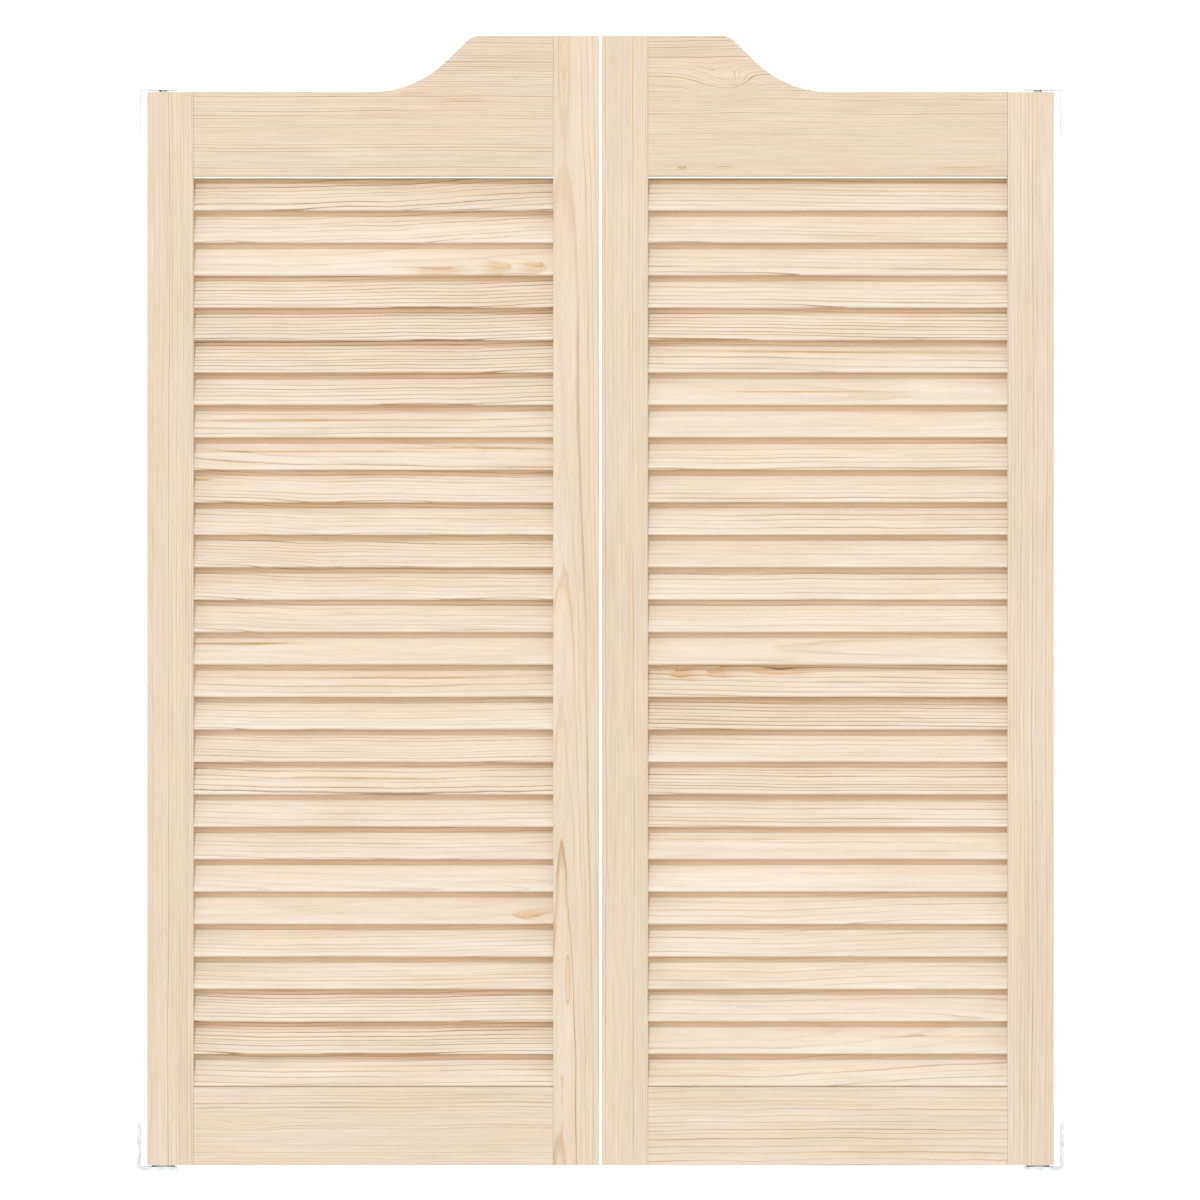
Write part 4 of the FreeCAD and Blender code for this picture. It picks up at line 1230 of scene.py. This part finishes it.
def make_spring(name, node, wire, turns, height, tang, dead=0):
    """Makes the spring that stands for a CAD node, from the node's own box."""
    low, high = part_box(node)
    piece = make_with(spring_tree, name, {
        "Wire": wire,
        "Radius": (high.x - low.x - wire) / 2,
        "Height": height,
        "Turns": float(turns),
        "Dead Turns": float(dead),
        "Tang": tang,
        "First": Vector(((low.x + high.x) / 2, 0.0, (low.z + high.z - height) / 2)),
        "Finish": HARDWARE["spring_steel"],
    })
    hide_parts(node)
    return piece


for side in ("left", "right"):
    node = side + "_centring_spring"
    low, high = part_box(node)
    middle = (low + high) / 2
    height = RETURN_TURNS * (RETURN_WIRE + RETURN_TURN_GAP)
    tang = (high.z - low.z - height) / 2
    spring = make_spring(side + "_return_spring", node, RETURN_WIRE, RETURN_TURNS, height, tang)
    foot = Vector((middle.x, 0.0, low.z + tang))
    head = Vector((middle.x, 0.0, high.z - tang))
    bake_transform(spring)

    node = side + "_pin_spring"
    low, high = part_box(node)
    height = high.z - low.z - PIN_WIRE
    spring = make_spring(side + "_pin_coil", node, PIN_WIRE, PIN_TURNS, height, 0.0, PIN_DEAD_TURNS)
    press = next(joint for joint in frame["joints"] if joint["name"] == side + "_pin_press")
    travel = max(abs(limit) for limit in press["range_m"])
    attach(spring, side + "_leaf")
    1 - travel / (high.z - low.z)
    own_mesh(spring)
    print(side, "pin travel in mm:", round(travel / MM, 2))

# %% [markdown]
# ## Screws of the barrel plate
#
# Two countersunk screws hold each barrel in the foot of its stile. Only their heads show, from below,
# and what makes a head look real is its cross recess. The body of a screw is turned: a straight line
# whose radius changes along its length, swept with a circle. The recess is cut out of it by a Mesh
# Boolean, and the screw is then placed on both points.

# %% Screw tree
SCREW_SIDES = 40
SHARP_EDGE = math.radians(25)
POINT_TAPER = 0.95

# The drilled middle of the recess: its radius at both ends in blades, and its depth in recesses.
DRILL_SIDES = 16
DRILL_RADII = (1.4, 0.3)
DRILL_DEPTH = 1.5


def make_screw_tree():
    """A row of two countersunk screws with a cross recess, heads down."""
    lengths = ("Shank", "Head", "Length", "Tip", "Blade", "Wing", "Recess", "Spacing")
    tree, given, numbers = new_shape_tree("countersunk screws", lengths)
    shank, head, length, tip, blade, wing, recess, spacing = numbers.values()

    # Four points: the rim of the head, its neck, the end of the shank and the point.
    line = place(tree, "GeometryNodeCurvePrimitiveLine")
    steps = place(tree, "GeometryNodeResampleCurve", {"Curve": line.outputs[0], "Count": 4})
    index = Number(tree, place(tree, "GeometryNodeInputIndex").outputs[0])
    neck = index.at_most(1.0)
    end = (index - 1.0).at_least(0.0).at_most(1.0)
    point = (index - 2.0).at_least(0.0)
    countersink = head - shank
    rise = neck * countersink + end * (length - tip - countersink) + point * tip
    radius = head - neck * countersink - point * shank * POINT_TAPER
    axis = place(tree, "GeometryNodeSetPosition", {
        "Geometry": steps.outputs[0],
        "Position": vector_of(tree, z=rise),
    })
    circle = place(tree, "GeometryNodeCurvePrimitiveCircle", {"Resolution": SCREW_SIDES, "Radius": 1.0})
    body = sweep(tree, axis, circle, scale=radius)

    # The recess: two crossed wings and a cone in the middle, cut out of the head.
    depth = recess * 2.0
    wings = place(tree, "GeometryNodeMeshCube", {"Size": vector_of(tree, wing * 2.0, blade, depth)})
    crossed = place(tree, "GeometryNodeMeshCube", {"Size": vector_of(tree, blade, wing * 2.0, depth)})
    drill = place(tree, "GeometryNodeMeshCone", {
        "Vertices": DRILL_SIDES,
        "Radius Bottom": blade * DRILL_RADII[0],
        "Radius Top": blade * DRILL_RADII[1],
        "Depth": recess * DRILL_DEPTH,
    })
    screw = {"Mesh 1": body.outputs[0]}
    cut = place(tree, "GeometryNodeMeshBoolean", screw, operation="DIFFERENCE", solver="EXACT")
    for tool in (wings, crossed, drill):
        tree.links.new(tool.outputs["Mesh"], cut.inputs["Mesh 2"])

    # One screw on each point, with soft shading and crisp edges.
    points = place(tree, "GeometryNodeMeshLine", {
        "Count": 2,
        "Start Location": given["First"],
        "Offset": vector_of(tree, y=spacing),
    })
    screws = place(tree, "GeometryNodeInstanceOnPoints", {
        "Points": points.outputs[0],
        "Instance": cut.outputs["Mesh"],
    })
    real = place(tree, "GeometryNodeRealizeInstances", {"Geometry": screws.outputs[0]})
    smooth = place(tree, "GeometryNodeSetShadeSmooth", {"Geometry": real.outputs[0]})
    bend = Number(tree, place(tree, "GeometryNodeInputMeshEdgeAngle").outputs["Unsigned Angle"])
    crisp = place(tree, "GeometryNodeSetShadeSmooth", {
        "Geometry": smooth.outputs[0],
        "Selection": bend.do("GREATER_THAN", SHARP_EDGE),
        "Shade Smooth": False,
    }, domain="EDGE")
    return finish_shape(tree, crisp, given["Finish"])


screw_tree = make_screw_tree()
print("screw tree nodes:", len(screw_tree.nodes))

# %% Make the screws
SHANK_RADIUS = 1.75 * MM
TIP_LENGTH = 3.0 * MM
RECESS_BLADE = 0.8 * MM
RECESS_WING = 1.9 * MM
RECESS_DEPTH = 1.3 * MM

for side in ("left", "right"):
    node = side + "_barrel_screws"
    low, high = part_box(node)
    head_radius = (high.x - low.x) / 2
    screws = make_with(screw_tree, side + "_plate_screws", {
        "Shank": SHANK_RADIUS,
        "Head": head_radius,
        "Length": high.z - low.z,
        "Tip": TIP_LENGTH,
        "Blade": RECESS_BLADE,
        "Wing": RECESS_WING,
        "Recess": RECESS_DEPTH,
        "Spacing": high.y - low.y - head_radius * 2,
        "First": Vector(((low.x + high.x) / 2, low.y + head_radius, low.z)),
        "Finish": HARDWARE["bright_steel"],
    })
    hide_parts(node)
    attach(screws, side + "_leaf")

# %% [markdown]
# ## The last measure
#
# The finished pieces have to fill the same box as the model that they dress. The box of the finished
# pieces is printed here, to set beside the model's box printed at the start, so that a piece that grew
# or slipped shows.

# %% Size of the finished model
low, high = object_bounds()
sizes = {"cad": [list(cad_low), list(cad_high)], "visual": [list(low), list(high)]}
print("visual box in mm:", [round(v / MM, 1) for v in (*low, *high)])
